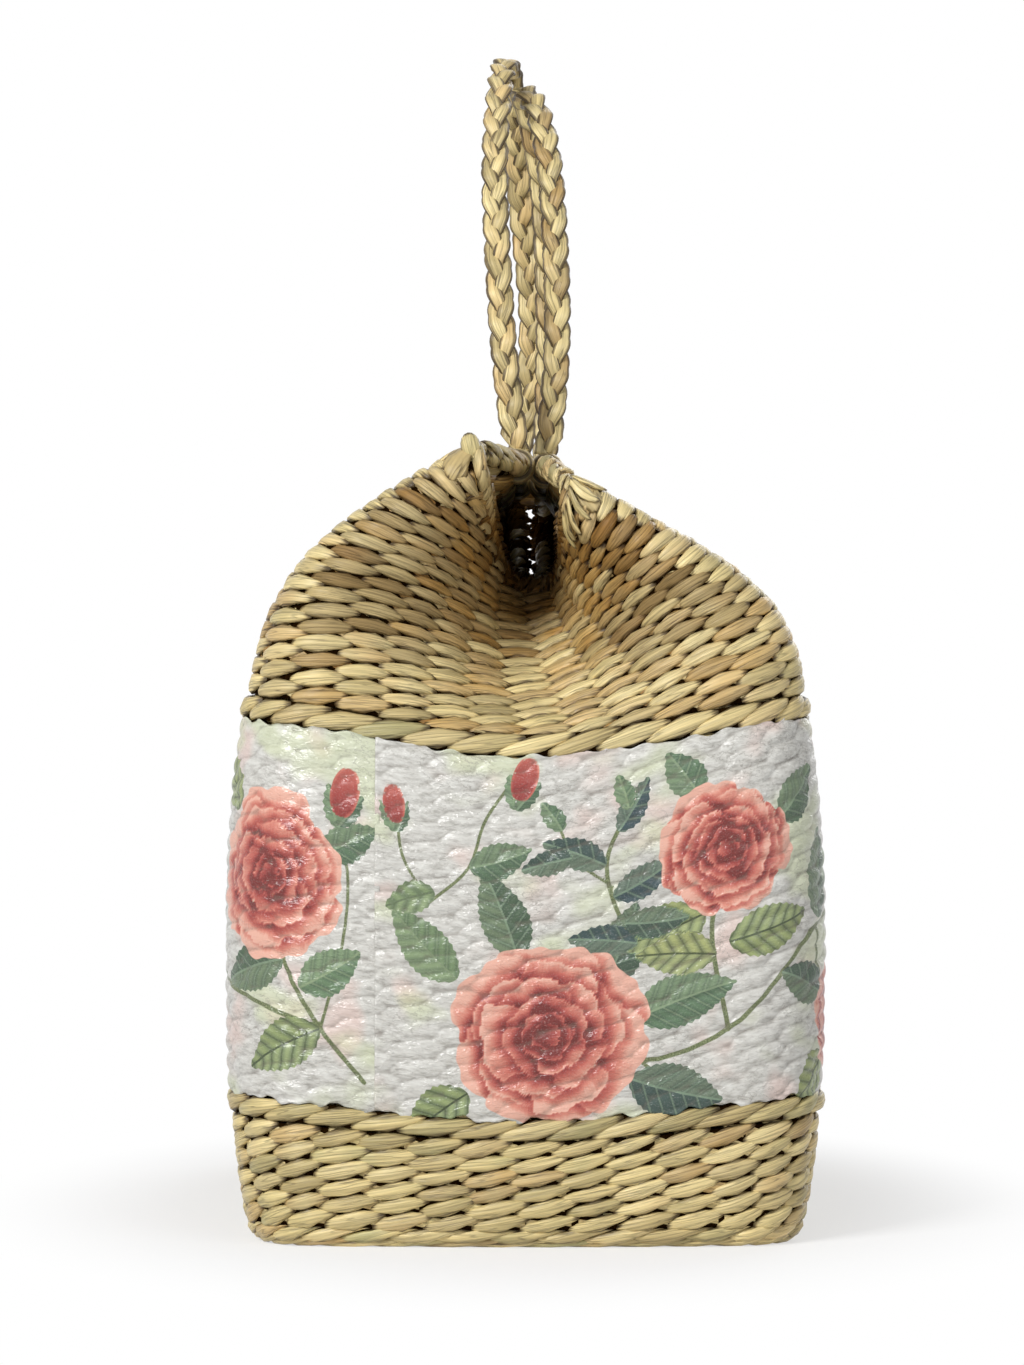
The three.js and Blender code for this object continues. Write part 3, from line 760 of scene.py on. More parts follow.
# %% Long leaves on a surface
def lay_leaves(name, surface, t0, v0, half_length, half_height, rise, base, fat, dive=1.0, inside=False):
    """Long leaves: half length in columns, and half height, rise, base, thickness and dive in mm."""
    shape = INNER_STITCH if inside else STITCH
    a, b, c = shape["points"].T
    count = len(t0)
    t = t0[:, None] + a * spread(half_length, 0.08, count)
    v = np.broadcast_to(v0, count)[:, None]
    v = v + b * spread(half_height, 0.1, count) + a * spread(rise, 0.2, count)
    lift = base + c * spread(fat, 0.12, count) - dive * a * a + 0.2 * waver(count)
    points = surface.at(t, v, -lift if inside else lift)
    fibre = fibre_map(t.shape, a * half_length * PITCH_MM, b * half_height)
    return copies(name, shape, points, tones(count, 0.04, 0.6), fibre, flip=inside)


def keep_above_floor(piece):
    for vertex in piece.data.vertices:
        vertex.co.z = max(vertex.co.z, 0)


# %% Two borders of slanting leaves
around = np.arange(COLUMNS, dtype=float)
for name, height in (("lower_border", LOWER_BORDER_HEIGHT), ("shoulder_border", SHOULDER_HEIGHT)):
    outer = lay_leaves("outer", wall, around + 0.2, height, 0.86, 3.9, 3.1, 2.2, 2.0, 1.7)
    inner = lay_leaves("inner", wall, around + 0.7, height, 0.86, 3.9, -3.1, 2.0, 1.7, 1.5, inside=True)
    middle = core("middle", wall, np.linspace(height - 4, height + 4, 4), 1.3, 0)
    dress(join(f"{name}_leaves", outer, inner, middle), name, "reed_border", "basket")
print("borders", [piece.name for piece, _ in dressed[-2:]])

# %% Foot: the turn from wall to floor
FOOT_PROFILE = [(19, 2.5), (14, 2.5), (9, 2.5), (6.2, 2.9), (4.0, 4.1), (3.1, 5.8), (3.0, 8.0)]
foot_rings = [
    np.maximum(wall_ring(z, inset_at(0) - inset_at(z) + depth), (-np.inf, -np.inf, 0))
    for depth, z in FOOT_PROFILE]
foot_levels = run_of(np.array(FOOT_PROFILE))
foot = Surface(foot_levels, foot_rings, COLUMNS)
foot_top = foot_levels[-1]
# Shift in columns and level of each layer, and then its sizes as lay_leaves takes them.
FOOT_LAYERS = (
    (0.0, foot_top - 1.8, 0.95, 2.6, 2.6, 2.0, 1.8, 1.6),
    (0.5, foot_top - 5.8, 1.2, 1.9, 2.2, 1.9, 1.5, 1.4),
    (0.5, foot_top - 10.5, 0.8, 4.4, 1.2, 1.2, 1.1),
    (0.0, 4.6, 0.75, 4.2, 1.2, 1.2, 1.1),
    (0.0, 8.0, 0.62, 5, 1.2, 2.6, 1.2, 1.0, True),
    (0.4, 1.8, 0.62, 4, 1.2, 2.6, 1.2, 1.0, True),
)
layers = [lay_leaves("layer", foot, around + shift, level, *sizes) for shift, level, *sizes in FOOT_LAYERS]
piece = join("foot_row_twining", *layers, core("stakes", foot, np.linspace(0, foot_top, 8), 1.0, 0.3))
keep_above_floor(piece)
dress(piece, "foot_row", "reed_weave", "basket")
print("foot", len(layers), "layers")

# %% Base mat, twined in rows along the bag
BASE_HALF_WIDTH = 82
BASE_ROWS = 24
BASE_COLUMNS = 16
BASE_MIDDLE = 3.0
base_radius = CORNER_RADIUS - inset_at(0) - 19.3


def base_end(x):
    """How far the base reaches along the bag at a place across it."""
    beyond = max(abs(x) - END_RUN, 0)
    corner = math.sqrt(max(base_radius ** 2 - beyond ** 2, 0))
    return CORNER_Y + corner + END_BULGE * math.cos(math.pi * x / WIDTH) ** 2


base_levels = np.linspace(-BASE_HALF_WIDTH, BASE_HALF_WIDTH, 40)
base_rings = [[(x, y, BASE_MIDDLE) for y in np.linspace(-base_end(x), base_end(x), 60)] for x in base_levels]
base = Surface(base_levels, base_rings, BASE_COLUMNS, closed=False)
base_t = np.tile(np.arange(BASE_COLUMNS) + 0.5, BASE_ROWS)
base_v = np.repeat(np.linspace(-BASE_HALF_WIDTH + 3.4, BASE_HALF_WIDTH - 3.4, BASE_ROWS), BASE_COLUMNS)
under = lay_leaves("under", base, base_t, base_v, 0.56, 3.9, 2.2, 1.4, 1.3, 1.2)
above = lay_leaves("above", base, base_t, base_v, 0.56, 3.9, -2.2, 1.4, 1.3, 1.2, inside=True)
t, v = np.meshgrid(
    np.linspace(0.02, BASE_COLUMNS - 0.02, 65), np.linspace(1 - BASE_HALF_WIDTH, BASE_HALF_WIDTH - 1, 25))
stakes = shell("stakes", base, t, v, 0.9 + 0.3 * np.cos(2 * math.pi * t))
piece = join("base_mat_twining", under, above, stakes)
keep_above_floor(piece)
dress(piece, "base_mat", "reed_weave", "basket")
print("base", len(base_t), "leaves on each side")

# %% [markdown]
# ## The painted and papered band
# The band is the same twining under white paint and printed paper, so its skin is one sheet that
# rises over each hidden stitch. The sheet is drawn finely enough to carry both the relief and the
# print.


# %% Relief of the papered band
# Half sizes of a bump, in columns and rows, and how much its height varies with chance.
BUMP_HALF_LENGTH, BUMP_HALF_HEIGHT = 0.62, 0.58
BUMP_LOW, BUMP_VARIES = 0.7, 0.45


def chance(i, j):
    """A number from 0 to 1 that is always the same for a row and a column."""
    value = np.sin(i * 12.9898 + j * 78.233) * 43758.5453
    return value - np.floor(value)


def relief(t, v):
    """How far the skin stands up over the stitches, from 0 in a gap to about 1 on a stitch."""
    row = (v - BAND_BOTTOM) / band_pitch - 0.5
    best = np.full(np.broadcast(t, v).shape, -1.0)
    for dr in (0, 1):
        i = np.floor(row) + dr
        shift = t - 0.5 + LEAN * (i + LOWER_ROWS + 1)
        for dc in (0, 1):
            j = np.floor(shift) + dc
            a = (shift - j) / BUMP_HALF_LENGTH
            b = (row - i - 0.3 * a + 0.16 * (chance(j, i) - 0.5)) / BUMP_HALF_HEIGHT
            height = (1 - np.abs(a) ** 3 - b * b) * (BUMP_LOW + BUMP_VARIES * chance(i, j))
            best = np.maximum(best, height)
    soft = 0.5 * (best + np.sqrt(best * best + 0.12))
    return soft ** 0.8


# %% [markdown]
# ## Drawing the print
# The paper carries blossoms, leaves and stems. Each vertex of the sheet is told how far inside a
# petal, leaf or stem it lies, in millimetres, and where along and across that leaf. The material
# then cuts the outline from the distance, so it stays sharp between vertices, and draws the veins.


# %% A blank print and its stems and leaves
def blank_print(x, z):
    drawing = {"x": x, "z": z}
    for name in ("leaf", "petal", "stem"):
        drawing[name] = np.full(x.shape, -9.0)
    for name in ("along", "across", "leaf_tone", "shade", "vein"):
        drawing[name] = np.zeros(x.shape)
    return drawing


def draw_stem(drawing, stops, half_width=0.6):
    path = catmull([(x, z, 0) for x, z in stops], 16)[:, :2]
    for (ax, az), (bx, bz) in zip(path, path[1:]):
        px, pz, qx, qz = drawing["x"] - ax, drawing["z"] - az, bx - ax, bz - az
        share = np.clip((px * qx + pz * qz) / (qx * qx + qz * qz), 0, 1)
        depth = half_width - np.hypot(px - share * qx, pz - share * qz)
        drawing["stem"] = np.maximum(drawing["stem"], depth)


def put(drawing, kind, depth, cast=0.0, **values):
    """Lays a shape over what is drawn already, and casts a shade this wide round it."""
    if cast:
        drawing["shade"] = drawing["shade"] + 0.36 * smoothstep(depth, -cast, 0) * (depth < 0)
    mine = (depth > 0) | (depth > drawing[kind])
    drawing[kind] = np.where(mine, depth, drawing[kind])
    for name, value in values.items():
        drawing[name] = np.where(mine, value, drawing[name])


def draw_leaf(drawing, x, z, angle, length, half_width, tone, bend=0.12):
    c, s = math.cos(math.radians(angle)), math.sin(math.radians(angle))
    along = (drawing["x"] - x) * c + (drawing["z"] - z) * s
    across = (drawing["z"] - z) * c - (drawing["x"] - x) * s
    q = np.clip(along / length, 0, 1)
    across = across - bend * length * q * q
    width = half_width * np.sin(math.pi * q ** 0.8) ** 0.85
    depth = np.minimum(width - np.abs(across), np.minimum(along, length - along))
    put(drawing, "leaf", depth, along=along, across=across, leaf_tone=tone)


# %% Blossoms of six rings of petals, and buds
# Petals in a ring, how far out they sit, their size, and how deep their red is.
PETAL_RINGS = (
    (6, 0.6, 0.5, 0.08), (5, 0.48, 0.44, 0.2), (5, 0.34, 0.37, 0.34), (4, 0.2, 0.29, 0.48),
    (4, 0.1, 0.2, 0.62), (3, 0.04, 0.12, 0.74))


def draw_blossom(drawing, x, z, radius, seed):
    draw = np.random.default_rng(seed)
    for count, out, size, deep in PETAL_RINGS:
        start = draw.uniform(0, 360)
        for k in range(count):
            angle = math.radians(start + 360 * k / count + draw.uniform(-9, 9))
            c, s = math.cos(angle), math.sin(angle)
            reach = radius * out * draw.uniform(0.84, 1.14)
            size = size * draw.uniform(0.88, 1.08)
            px, pz = drawing["x"] - x - reach * c, drawing["z"] - z - reach * s
            outward = (px * c + pz * s) / (radius * size * 0.95)
            sideways = (pz * c - px * s) / (radius * size * 1.12)
            turn = np.arctan2(sideways, outward)
            wave = 0.13 * np.sin(4 * turn + seed + 2 * k) + 0.07 * np.sin(9 * turn + k)
            wave = wave + 0.03 * np.sin(17 * turn)
            inside = 1 - (sideways / (1 + 0.3 * outward.clip(-1, 1))) ** 2 - outward ** 2 + wave
            shade = deep + 0.34 * (0.2 - outward) + 0.14 * sideways * draw.choice((-1, 1))
            shade = shade + draw.uniform(-0.1, 0.12)
            shade = shade - 0.16 * smoothstep(-inside, -0.2, -0.05) + 0.12 * np.sin(sideways * 5 + k) ** 2
            depth = inside * radius * size * 0.5
            put(drawing, "petal", depth, radius * 0.16, shade=shade, vein=sideways * radius * size)


def draw_bud(drawing, x, z, angle, length):
    draw_leaf(drawing, x, z, angle + 24, length * 0.75, length * 0.16, 0.35, 0.0)
    draw_leaf(drawing, x, z, angle - 24, length * 0.75, length * 0.16, 0.2, 0.0)
    c, s = math.cos(math.radians(angle)), math.sin(math.radians(angle))
    px, pz = drawing["x"] - x, drawing["z"] - z
    for side, deep in ((-0.2, 0.35), (0.2, 0.5), (0.0, 0.7)):
        along = ((px * c + pz * s) / length - 0.62) / 0.42
        across = (pz * c - px * s) / length / 0.2 - side
        inside = 1 - along ** 2 - across ** 2
        put(drawing, "petal", inside * length * 0.12, shade=deep - 0.2 * along, vein=across * 4)


def draw_spray(drawing, x, z, radius, stops, leaves, seed):
    """A blossom on a stem, with leaves given by their angle, length, width and tone."""
    draw_stem(drawing, [(x, z)] + stops, 0.9)
    for lx, lz, angle, length, half_width, tone in leaves:
        draw_leaf(drawing, lx, lz, angle, length, half_width, tone, 0.1 if angle % 20 else -0.1)
    draw_blossom(drawing, x, z, radius, seed)


# %% Print of the near sheet
# Places are millimetres along the sheet and up the wall. A leaf has its place, its angle in
# degrees, its length and half width, and its tone from blue-green to yellow-green.
def near_print(d):
    draw_spray(d, 62, 88, 33, [(96, 76), (128, 84), (168, 118), (206, 124)], [
        (82, 104, 62, 34, 9, 0.1), (94, 92, 20, 38, 10, 0.3), (92, 70, -25, 36, 10, 0.05),
        (34, 66, 215, 30, 9, 0.6), (30, 108, 140, 34, 9, 0.45), (52, 116, 105, 36, 9, 0.15)], 3)
    draw_stem(d, [(96, 76), (112, 62), (128, 54)], 0.7)
    draw_spray(d, 128, 150, 25, [(122, 122), (128, 84)], [
        (120, 128, 200, 34, 10, 0.75), (124, 112, 168, 30, 8, 0.85), (128, 116, 8, 34, 9, 0.65),
        (148, 158, 35, 28, 8, 0.2), (118, 170, 118, 22, 7, 0.3)], 8)
    draw_stem(d, [(20, 136), (34, 150), (40, 168), (52, 186)])
    draw_stem(d, [(20, 136), (10, 152), (8, 172)])
    draw_bud(d, 51, 172, 74, 20)
    draw_bud(d, 8, 160, 96, 17)
    draw_leaf(d, 34, 150, 12, 24, 7, 0.25)
    draw_leaf(d, 22, 140, 196, 20, 6, 0.5)
    draw_spray(d, 188, 84, 22, [(170, 100), (168, 118)], [
        (172, 92, 150, 26, 8, 0.1), (198, 104, 70, 28, 8, 0.55), (206, 76, -20, 26, 8, 0.2),
        (176, 70, 215, 26, 8, 0.7)], 5)
    draw_leaf(d, 168, 120, 75, 34, 9, 0.15)
    draw_leaf(d, 176, 134, 30, 30, 8, 0.4)
    draw_stem(d, [(100, 112), (88, 132), (84, 152), (92, 170)], 0.8)
    draw_stem(d, [(86, 142), (72, 154), (66, 168)])
    for leaf in (
            (86, 138, 20, 26, 6, 0.0), (84, 150, 150, 26, 6, 0.04), (88, 162, 52, 22, 5, 0.0),
            (72, 154, 186, 20, 5, 0.06), (95, 120, 165, 26, 6, 0.02), (90, 128, -8, 24, 6, 0.08),
            (68, 164, 118, 14, 4, 0.3), (92, 170, 100, 14, 4, 0.4)):
        draw_leaf(d, *leaf)
    draw_spray(d, 232, 140, 30, [(206, 124)], [
        (214, 118, 230, 30, 9, 0.3), (222, 166, 120, 28, 8, 0.15), (250, 118, -50, 30, 9, 0.6)], 12)


# %% Prints of the other three sheets
def back_print(d):
    draw_spray(d, 48, 132, 31, [(70, 106), (104, 88), (150, 92)], [
        (66, 110, -60, 34, 9, 0.2), (72, 140, 15, 34, 9, 0.1), (28, 156, 130, 28, 8, 0.5),
        (26, 112, 215, 32, 9, 0.75)], 41)
    draw_spray(d, 150, 92, 27, [(176, 112), (206, 132)], [
        (126, 84, 190, 32, 9, 0.3), (150, 116, 95, 30, 9, 0.65), (172, 78, -25, 32, 9, 0.1)], 44)
    draw_spray(d, 222, 146, 33, [(206, 132)], [
        (204, 122, 240, 34, 10, 0.15), (196, 160, 155, 32, 9, 0.55), (246, 124, -40, 30, 9, 0.4)], 48)
    draw_stem(d, [(104, 88), (112, 120), (120, 150)])
    draw_bud(d, 119, 144, 80, 22)
    draw_leaf(d, 108, 104, 30, 26, 7, 0.3)
    draw_leaf(d, 110, 118, 150, 24, 7, 0.8)


def far_print(d):
    draw_spray(d, 128, 128, 34, [(100, 108), (60, 96), (30, 110)], [
        (104, 112, 210, 36, 10, 0.1), (108, 148, 140, 30, 9, 0.6), (152, 110, -35, 36, 10, 0.25),
        (152, 148, 40, 32, 9, 0.15)], 21)
    draw_spray(d, 46, 150, 22, [(60, 96)], [(54, 122, 20, 28, 8, 0.4), (30, 134, 200, 26, 8, 0.7)], 23)
    draw_spray(d, 212, 92, 27, [(180, 84), (150, 78)], [
        (188, 84, 150, 30, 8, 0.2), (232, 108, 50, 30, 9, 0.5), (196, 72, 235, 22, 7, 0.3)], 27)
    draw_bud(d, 200, 142, 85, 22)
    draw_stem(d, [(201, 142), (204, 128), (212, 112)])


def front_print(d):
    draw_spray(d, 226, 138, 27, [(232, 108), (246, 84), (262, 66)], [
        (232, 108, 195, 32, 9, 0.15), (238, 98, 30, 28, 8, 0.4), (246, 84, 205, 34, 9, 0.6),
        (246, 148, 25, 24, 7, 0.25), (208, 160, 130, 28, 8, 0.7)], 31)
    draw_bud(d, 252, 158, 78, 22)
    draw_stem(d, [(253, 158), (256, 140), (254, 116), (246, 84)])
    draw_spray(d, 128, 92, 32, [(160, 112), (190, 100), (246, 84)], [
        (156, 112, 60, 34, 9, 0.2), (152, 78, -25, 32, 9, 0.1), (104, 78, 205, 32, 9, 0.5),
        (110, 118, 120, 32, 9, 0.3)], 36)
    draw_spray(d, 44, 140, 29, [(70, 118), (100, 96)], [
        (64, 120, -30, 32, 9, 0.65), (30, 116, 230, 30, 9, 0.2), (58, 164, 60, 24, 8, 0.4)], 38)


# %% The paper sheets as closed skins
# First and last column of each sheet, its points along and up, and its print.
SHEETS = {
    "near": (-3.07, 12.1, 361, 181, near_print),
    "back": (12, 27.1, 241, 121, back_print),
    "far": (27, 42.1, 241, 121, far_print),
    "front": (42, 57.03, 301, 151, front_print),
}
BACK_STEP = 4
# Off the middle of the wall: the skin in a gap and its rise on a stitch, its back, and a lap's rise.
SKIN_LOW, SKIN_RISE, SKIN_BACK, LAP_RISE = 1.7, 1.55, 1.1, 0.35
LAYERS = {
    "leaf": ("leaf", "along", "across"),
    "petal": ("petal", "shade", "vein"),
    "stem": ("stem", "leaf_tone", "groove"),
}


def with_back(grid, width):
    """The values of the fine front and, after them, of the coarser back."""
    return np.concatenate([grid.reshape(-1, width), grid[::BACK_STEP, ::BACK_STEP].reshape(-1, width)])


def paper_sheet(name, outer, inner, fibre):
    """A closed sheet: fine outside, and with a coarser back that shares its outline."""
    faces = sheet_faces(*outer.shape[:2], BACK_STEP)
    back = inner[::BACK_STEP, ::BACK_STEP]
    points = np.concatenate([outer.reshape(-1, 3), back.reshape(-1, 3)])
    strand = np.array([[0.5, 0.5, 0.5]])
    return copies(name, {"faces": faces}, points[None], strand, with_back(fibre, 2)[None])


# %% Four sheets with their prints
for sheet, (first, last, columns, rows, draw_print) in SHEETS.items():
    share, up = np.meshgrid(np.linspace(0, 1, columns), np.linspace(0, 1, rows))
    t = mix(first, last, share)
    # The cut edges waver by one or two millimetres.
    low = BAND_BOTTOM - 0.6 + 1.3 * np.sin(t * 2.3 + 1) * np.sin(t * 5.9) + 0.5 * np.sin(t * 13.7)
    high = BAND_TOP + 0.8 + 1.1 * np.sin(t * 3.1 + 2) * np.sin(t * 4.7) + 0.4 * np.sin(t * 11.3)
    v = mix(low, high, up)
    run, bumps = (t - first) * PITCH_MM, relief(t, v)
    overlap = LAP_RISE * (1 - smoothstep(share * (last - first) * PITCH_MM, 3.0, 9.0))
    drawing = blank_print(run, v)
    # Painted shade: how much the grooves between the bumps are greyed.
    drawing["groove"] = 1 - smoothstep(bumps, 0.15, 0.75)
    draw_print(drawing)
    skin = wall.at(t, v, SKIN_LOW + SKIN_RISE * bumps + overlap)
    fibre = np.stack([run, v], axis=2)
    piece = paper_sheet(f"{sheet}_paper_skin", skin, wall.at(t, v, SKIN_BACK), fibre)
    for name, parts in LAYERS.items():
        values = with_back(np.stack([drawing[p] for p in parts], axis=2), 3)
        give_points(piece.data, name, "FLOAT_VECTOR", values)
    dress(piece, "paper_wrap", "varnished_paper", "basket")
    print(piece.name, len(piece.data.polygons), "faces")

# %% [markdown]
# ## Rims
# A rim is a bundle of stake ends wrapped with flat reed. Leaves laid slanting round a thin tube give
# that look. At the near ears the last reeds fold over the edge and end in a knot and loose ends.
# The far slot is nearly closed by cut reed ends, because only chinks of light show there.

# %% Short bent reeds
def lay_ribbons(name, starts, middles, ends, wide, half_width, half_thick, hues):
    """Short flat reeds, each bent along a curve from its start past its middle to its end."""
    a, b, c = STITCH["points"].T
    count = len(starts)
    s = ((a + 1) / 2)[None, :, None]
    first, mid, last = (np.array(p)[:, None] for p in (starts, middles, ends))
    line = (1 - s) ** 2 * first + 2 * s * (1 - s) * mid + s * s * last
    tangent = unit(2 * (1 - s) * (mid - first) + 2 * s * (last - mid))
    across = square_to(tangent, np.array(wide)[:, None] + 0 * tangent)
    breadth = b[None, :, None] * spread(half_width, 0.2, count)[..., None]
    thickness = c[None, :, None] * half_thick
    points = line + breadth * across + thickness * np.cross(tangent, across)
    fibre = fibre_map(points.shape[:2], a * 9, b * half_width)
    return copies(name, STITCH, points, tones(count, *hues), fibre)


# %% Cut ends in the far slot
CHINKS, CHINK_HALF_HEIGHT = (249.6, 278.5), 3.3
SLOT_MIDDLE, SLOT_MIDDLE_HALF_HEIGHT = 264, 11
# How much of the slot the ends cross at a chink, in the middle and elsewhere.
CHINK_SHARE, MIDDLE_SHARE, FULL_SHARE = 0.45, 0.54, 0.92
FIBRE_STEP, FIBRE_SETBACK = 1.9, 0.7


def slot_fibres(side):
    """Cut reed ends that stick out of a far rim and close the far slot but for its chinks."""
    lines = []
    for name in (side, "back" if side == "front" else "front"):
        t = mix(float(FAR_MIDDLE), edge_column(name, "far", 1.0), np.linspace(0.0, 0.97, 120))
        line = upper.at(t, 1.0)
        lines.append(line[:int(line[:, 2].argmax()) + 1])
    mine, theirs = lines
    heights = np.arange(mine[0, 2] + 0.5, max(mine[-1, 2], theirs[-1, 2] + 3) - 1, FIBRE_STEP)
    count = len(heights)
    starts = np.column_stack([interpolate(heights, mine[:, 2], mine[:, :2]), heights])
    across = np.interp(heights, theirs[:, 2], theirs[:, 0]) - starts[:, 0]
    chink = np.min([np.abs(heights - z) for z in CHINKS], axis=0) < CHINK_HALF_HEIGHT
    middle = np.abs(heights - SLOT_MIDDLE) < SLOT_MIDDLE_HALF_HEIGHT
    share = np.select([chink, middle], [CHINK_SHARE, MIDDLE_SHARE], FULL_SHARE)
    share *= 1 + rng.uniform(-0.05, 0.04, count) * np.where(share == FULL_SHARE, 0.3, 1.0)
    starts = starts + (0, -SIGN[side] * FIBRE_SETBACK, 0)
    ends = starts + np.stack([across * share, 0 * across, rng.uniform(-1, 1, count)], axis=1)
    middles = mix(starts, ends, 0.5) + rng.uniform(-1, 1, (count, 3)) * (0, 0.3, 1)
    upwards = np.tile([0.0, 0, 1], (count, 1))
    # The ends take near-black reed colours: painted shade for the unlit inside of the far slot.
    return lay_ribbons("fibres", starts, middles, ends, upwards, 2.2, 0.4, (0.955, 0.985))


# %% Reeds folded over the near slot
EDGE_LEAF_STEP = 6.6


def ear_column(t_values):
    """The column at which the edge of an end panel turns round the point of its ear."""
    t = np.linspace(t_values[0], t_values[-1], 400)
    return t[np.argmin(upper.at(t, 1.0)[:, 1])]


def edge_leaves(side, t_values):
    """Wall reeds folded over the edge of the near slot, pale near the ear, browner and darker with painted
    shade low in the fold.
    """
    ear = ear_column(t_values)
    t = np.linspace(0, ear - 0.45, 200) if side == "back" else np.linspace(ear + 0.45, COLUMNS, 200)
    runs = run_of(upper.at(t, 1.0))
    count = int(runs[-1] / EDGE_LEAF_STEP)
    t = np.interp((np.arange(count) + 0.5) / count * runs[-1], runs, t)
    top = upper.at(t, 1.0)
    upwards = unit(top - upper.at(t, 0.95))
    starts = upper.at(t - 0.3, 0.905, 2.4)
    ends = upper.at(t + 0.3, 0.92, -2.6)
    wide = upper.at(t + 0.2, 1.0) - upper.at(t - 0.2, 1.0)
    high = smoothstep(top[:, 2], 262, 284)
    hues = (0.6 - 0.3 * high, 0.93 - 0.2 * high, 1.3 - 0.8 * high)
    return lay_ribbons("leaves", starts, top + 16 * upwards, ends, wide, 4.4, 1.3, hues)


# %% Points of the near ears
def ear_leaves(side, t_values):
    """Broad leaves that close the point of a near ear, with a knob in front or loose ends behind."""
    ear = ear_column(t_values)
    t0 = ear + SIGN[side] * np.array([0.15, 0.7, 1.3])
    a, b, c = STITCH["points"].T
    t = t0[:, None] + b * spread(0.38, 0.1, 3) + SIGN[side] * a * 0.3
    v = np.minimum(0.945 + a * spread(0.055, 0.1, 3), 1.0)
    lift = 2.2 + c * spread(1.2, 0.1, 3) - 0.7 * a * a
    points = upper.at(t, v, lift)
    broad = copies("broad", STITCH, points, tones(3, 0.1, 0.5, 0.2), fibre_map(t.shape, a * 8.0, b * 4.0))
    if side == "front":
        tip = upper.at([ear], 1.0)[0] + np.array([-3.5, 2, 4])
        places = tip + np.array([[0, 0, 3.0], [1.6, 1, 0.5]])
        ball = KNOB["points"] @ np.array([[-1.2, 0, 5.4], [3.7, 0, 0.8], [0, 3.3, 0]])
        fibre = np.tile(KNOB["points"][:, :2] * (6.0, 4.0), (2, 1, 1))
        return [broad, copies("knob", KNOB, places[:, None] + ball, tones(2, 0.0, 0.2), fibre)]
    t = ear + np.linspace(-1.5, 0.3, 6)
    top = upper.at(ear + np.linspace(-0.2, 0.5, 6), 1.0, 3.0)
    bend = upper.at(mix(t, ear, 0.4), 0.95, 5.0)
    drop = upper.at(t, 0.885 + rng.uniform(-0.02, 0.02, 6), 3.4)
    wide = upper.at(t + 0.2, 0.94) - upper.at(t - 0.2, 0.94)
    return [broad, lay_ribbons("loose", top, bend, drop, wide, 2.3, 0.8, (0.0, 0.4))]


# %% Strands of one section
def grid_strands(name, rings, strand, fibre, closed_run=False):
    """Strands from rings of points: strand by strand, step by step, and once round."""
    count, steps, sides = rings.shape[:3]
    grid = np.arange(steps * sides).reshape(steps, sides)
    grid = np.c_[grid, grid[:, :1]]
    faces = quads(np.r_[grid, grid[:1]] if closed_run else grid)
    if not closed_run:
        faces += [grid[0, :sides][::-1].tolist(), grid[-1, :sides].tolist()]
    points = rings.reshape(count, steps * sides, 3)
    fibre = fibre.reshape(count, steps * sides, 2)
    # Edge: the sides of a strand, where the material paints shade.
    edge = np.tile(np.abs(np.cos(circle(sides))) ** 2, steps)
    return copies(name, {"faces": faces, "edge": edge}, points, strand, fibre)


# %% A rim wrapped with leaves
RIM_RADIUS, SLOT_RIM_RADIUS = 3.0, 1.9
RIM_LEAF_STEP = 12
RIM_STEPS = 120


def wrapped_rim(name, t_values, radius, shaded):
    """Slanting leaves round a tube on the wall's edge. Where shaded, inward wraps take near-black painted
    shade.
    """
    edge = upper.at(t_values, 1.0)
    path = resample(edge, RIM_STEPS)
    even = np.linspace(0, 1, RIM_STEPS)
    wide = interpolate(even, np.linspace(0, 1, len(t_values)), edge - upper.at(t_values, 0.96))
    tangents = unit(np.gradient(path, axis=0))
    wide = square_to(tangents, wide)
    thick = np.cross(tangents, wide)
    angles = circle(16)[None, :, None]
    rings = path[:, None] + radius * (np.cos(angles) * wide[:, None] + np.sin(angles) * thick[:, None])
    surface = Surface(run_of(path), rings, 1.0)
    length = surface.levels[-1]
    size = radius / RIM_RADIUS
    count = 3 * int(round(length / RIM_LEAF_STEP / size))
    v0 = (np.arange(count) + 0.5) * length / count
    a, b, c = STITCH["points"].T
    t0 = np.arange(count) % 3 / 3 + rng.uniform(-0.03, 0.03, count)
    t = t0[:, None] + a * spread(0.2, 0.2, count) + b * 0.15
    v = v0[:, None] + a * spread(9.5 * size, 0.15, count) - b * spread(1.5 * size, 0.3, count)
    lift = size * (0.7 + c * spread(1.1, 0.15, count) - 0.7 * a * a + 0.2 * waver(count))
    points = surface.at(t, np.clip(v, 0, length), lift)
    fill_rings = surface.rings[None, ::4]
    fill = grid_strands("fill", fill_rings, tones(1), np.zeros(fill_rings.shape[:3] + (2,)))
    strand = tones(count, 0.1, 0.7)
    # Slot rims grow browner, and darker with painted shade, the lower they lie in the fold.
    if size < 1:
        deep = 1 - smoothstep(surface.at(t, v0[:, None])[:, 0, 2], 258, 284)
        strand = tones(count, 0.25 + 0.4 * deep, 0.6 + 0.33 * deep, 1.2 * deep)
    # Painted shade: wraps that face into the far slot turn near black.
    if shaded:
        middle = t.mean(axis=1) % 1
        facing = surface.at(middle, v0, 1.0) - surface.at(middle, v0)
        strand[(facing[:, 1] < 0.75) & (facing[:, 2] < 0.75), 1] = 0.985
    return join(name, copies("wraps", STITCH, points, strand, fibre_map(t.shape, a * 12.0, b * 4.6)), fill)


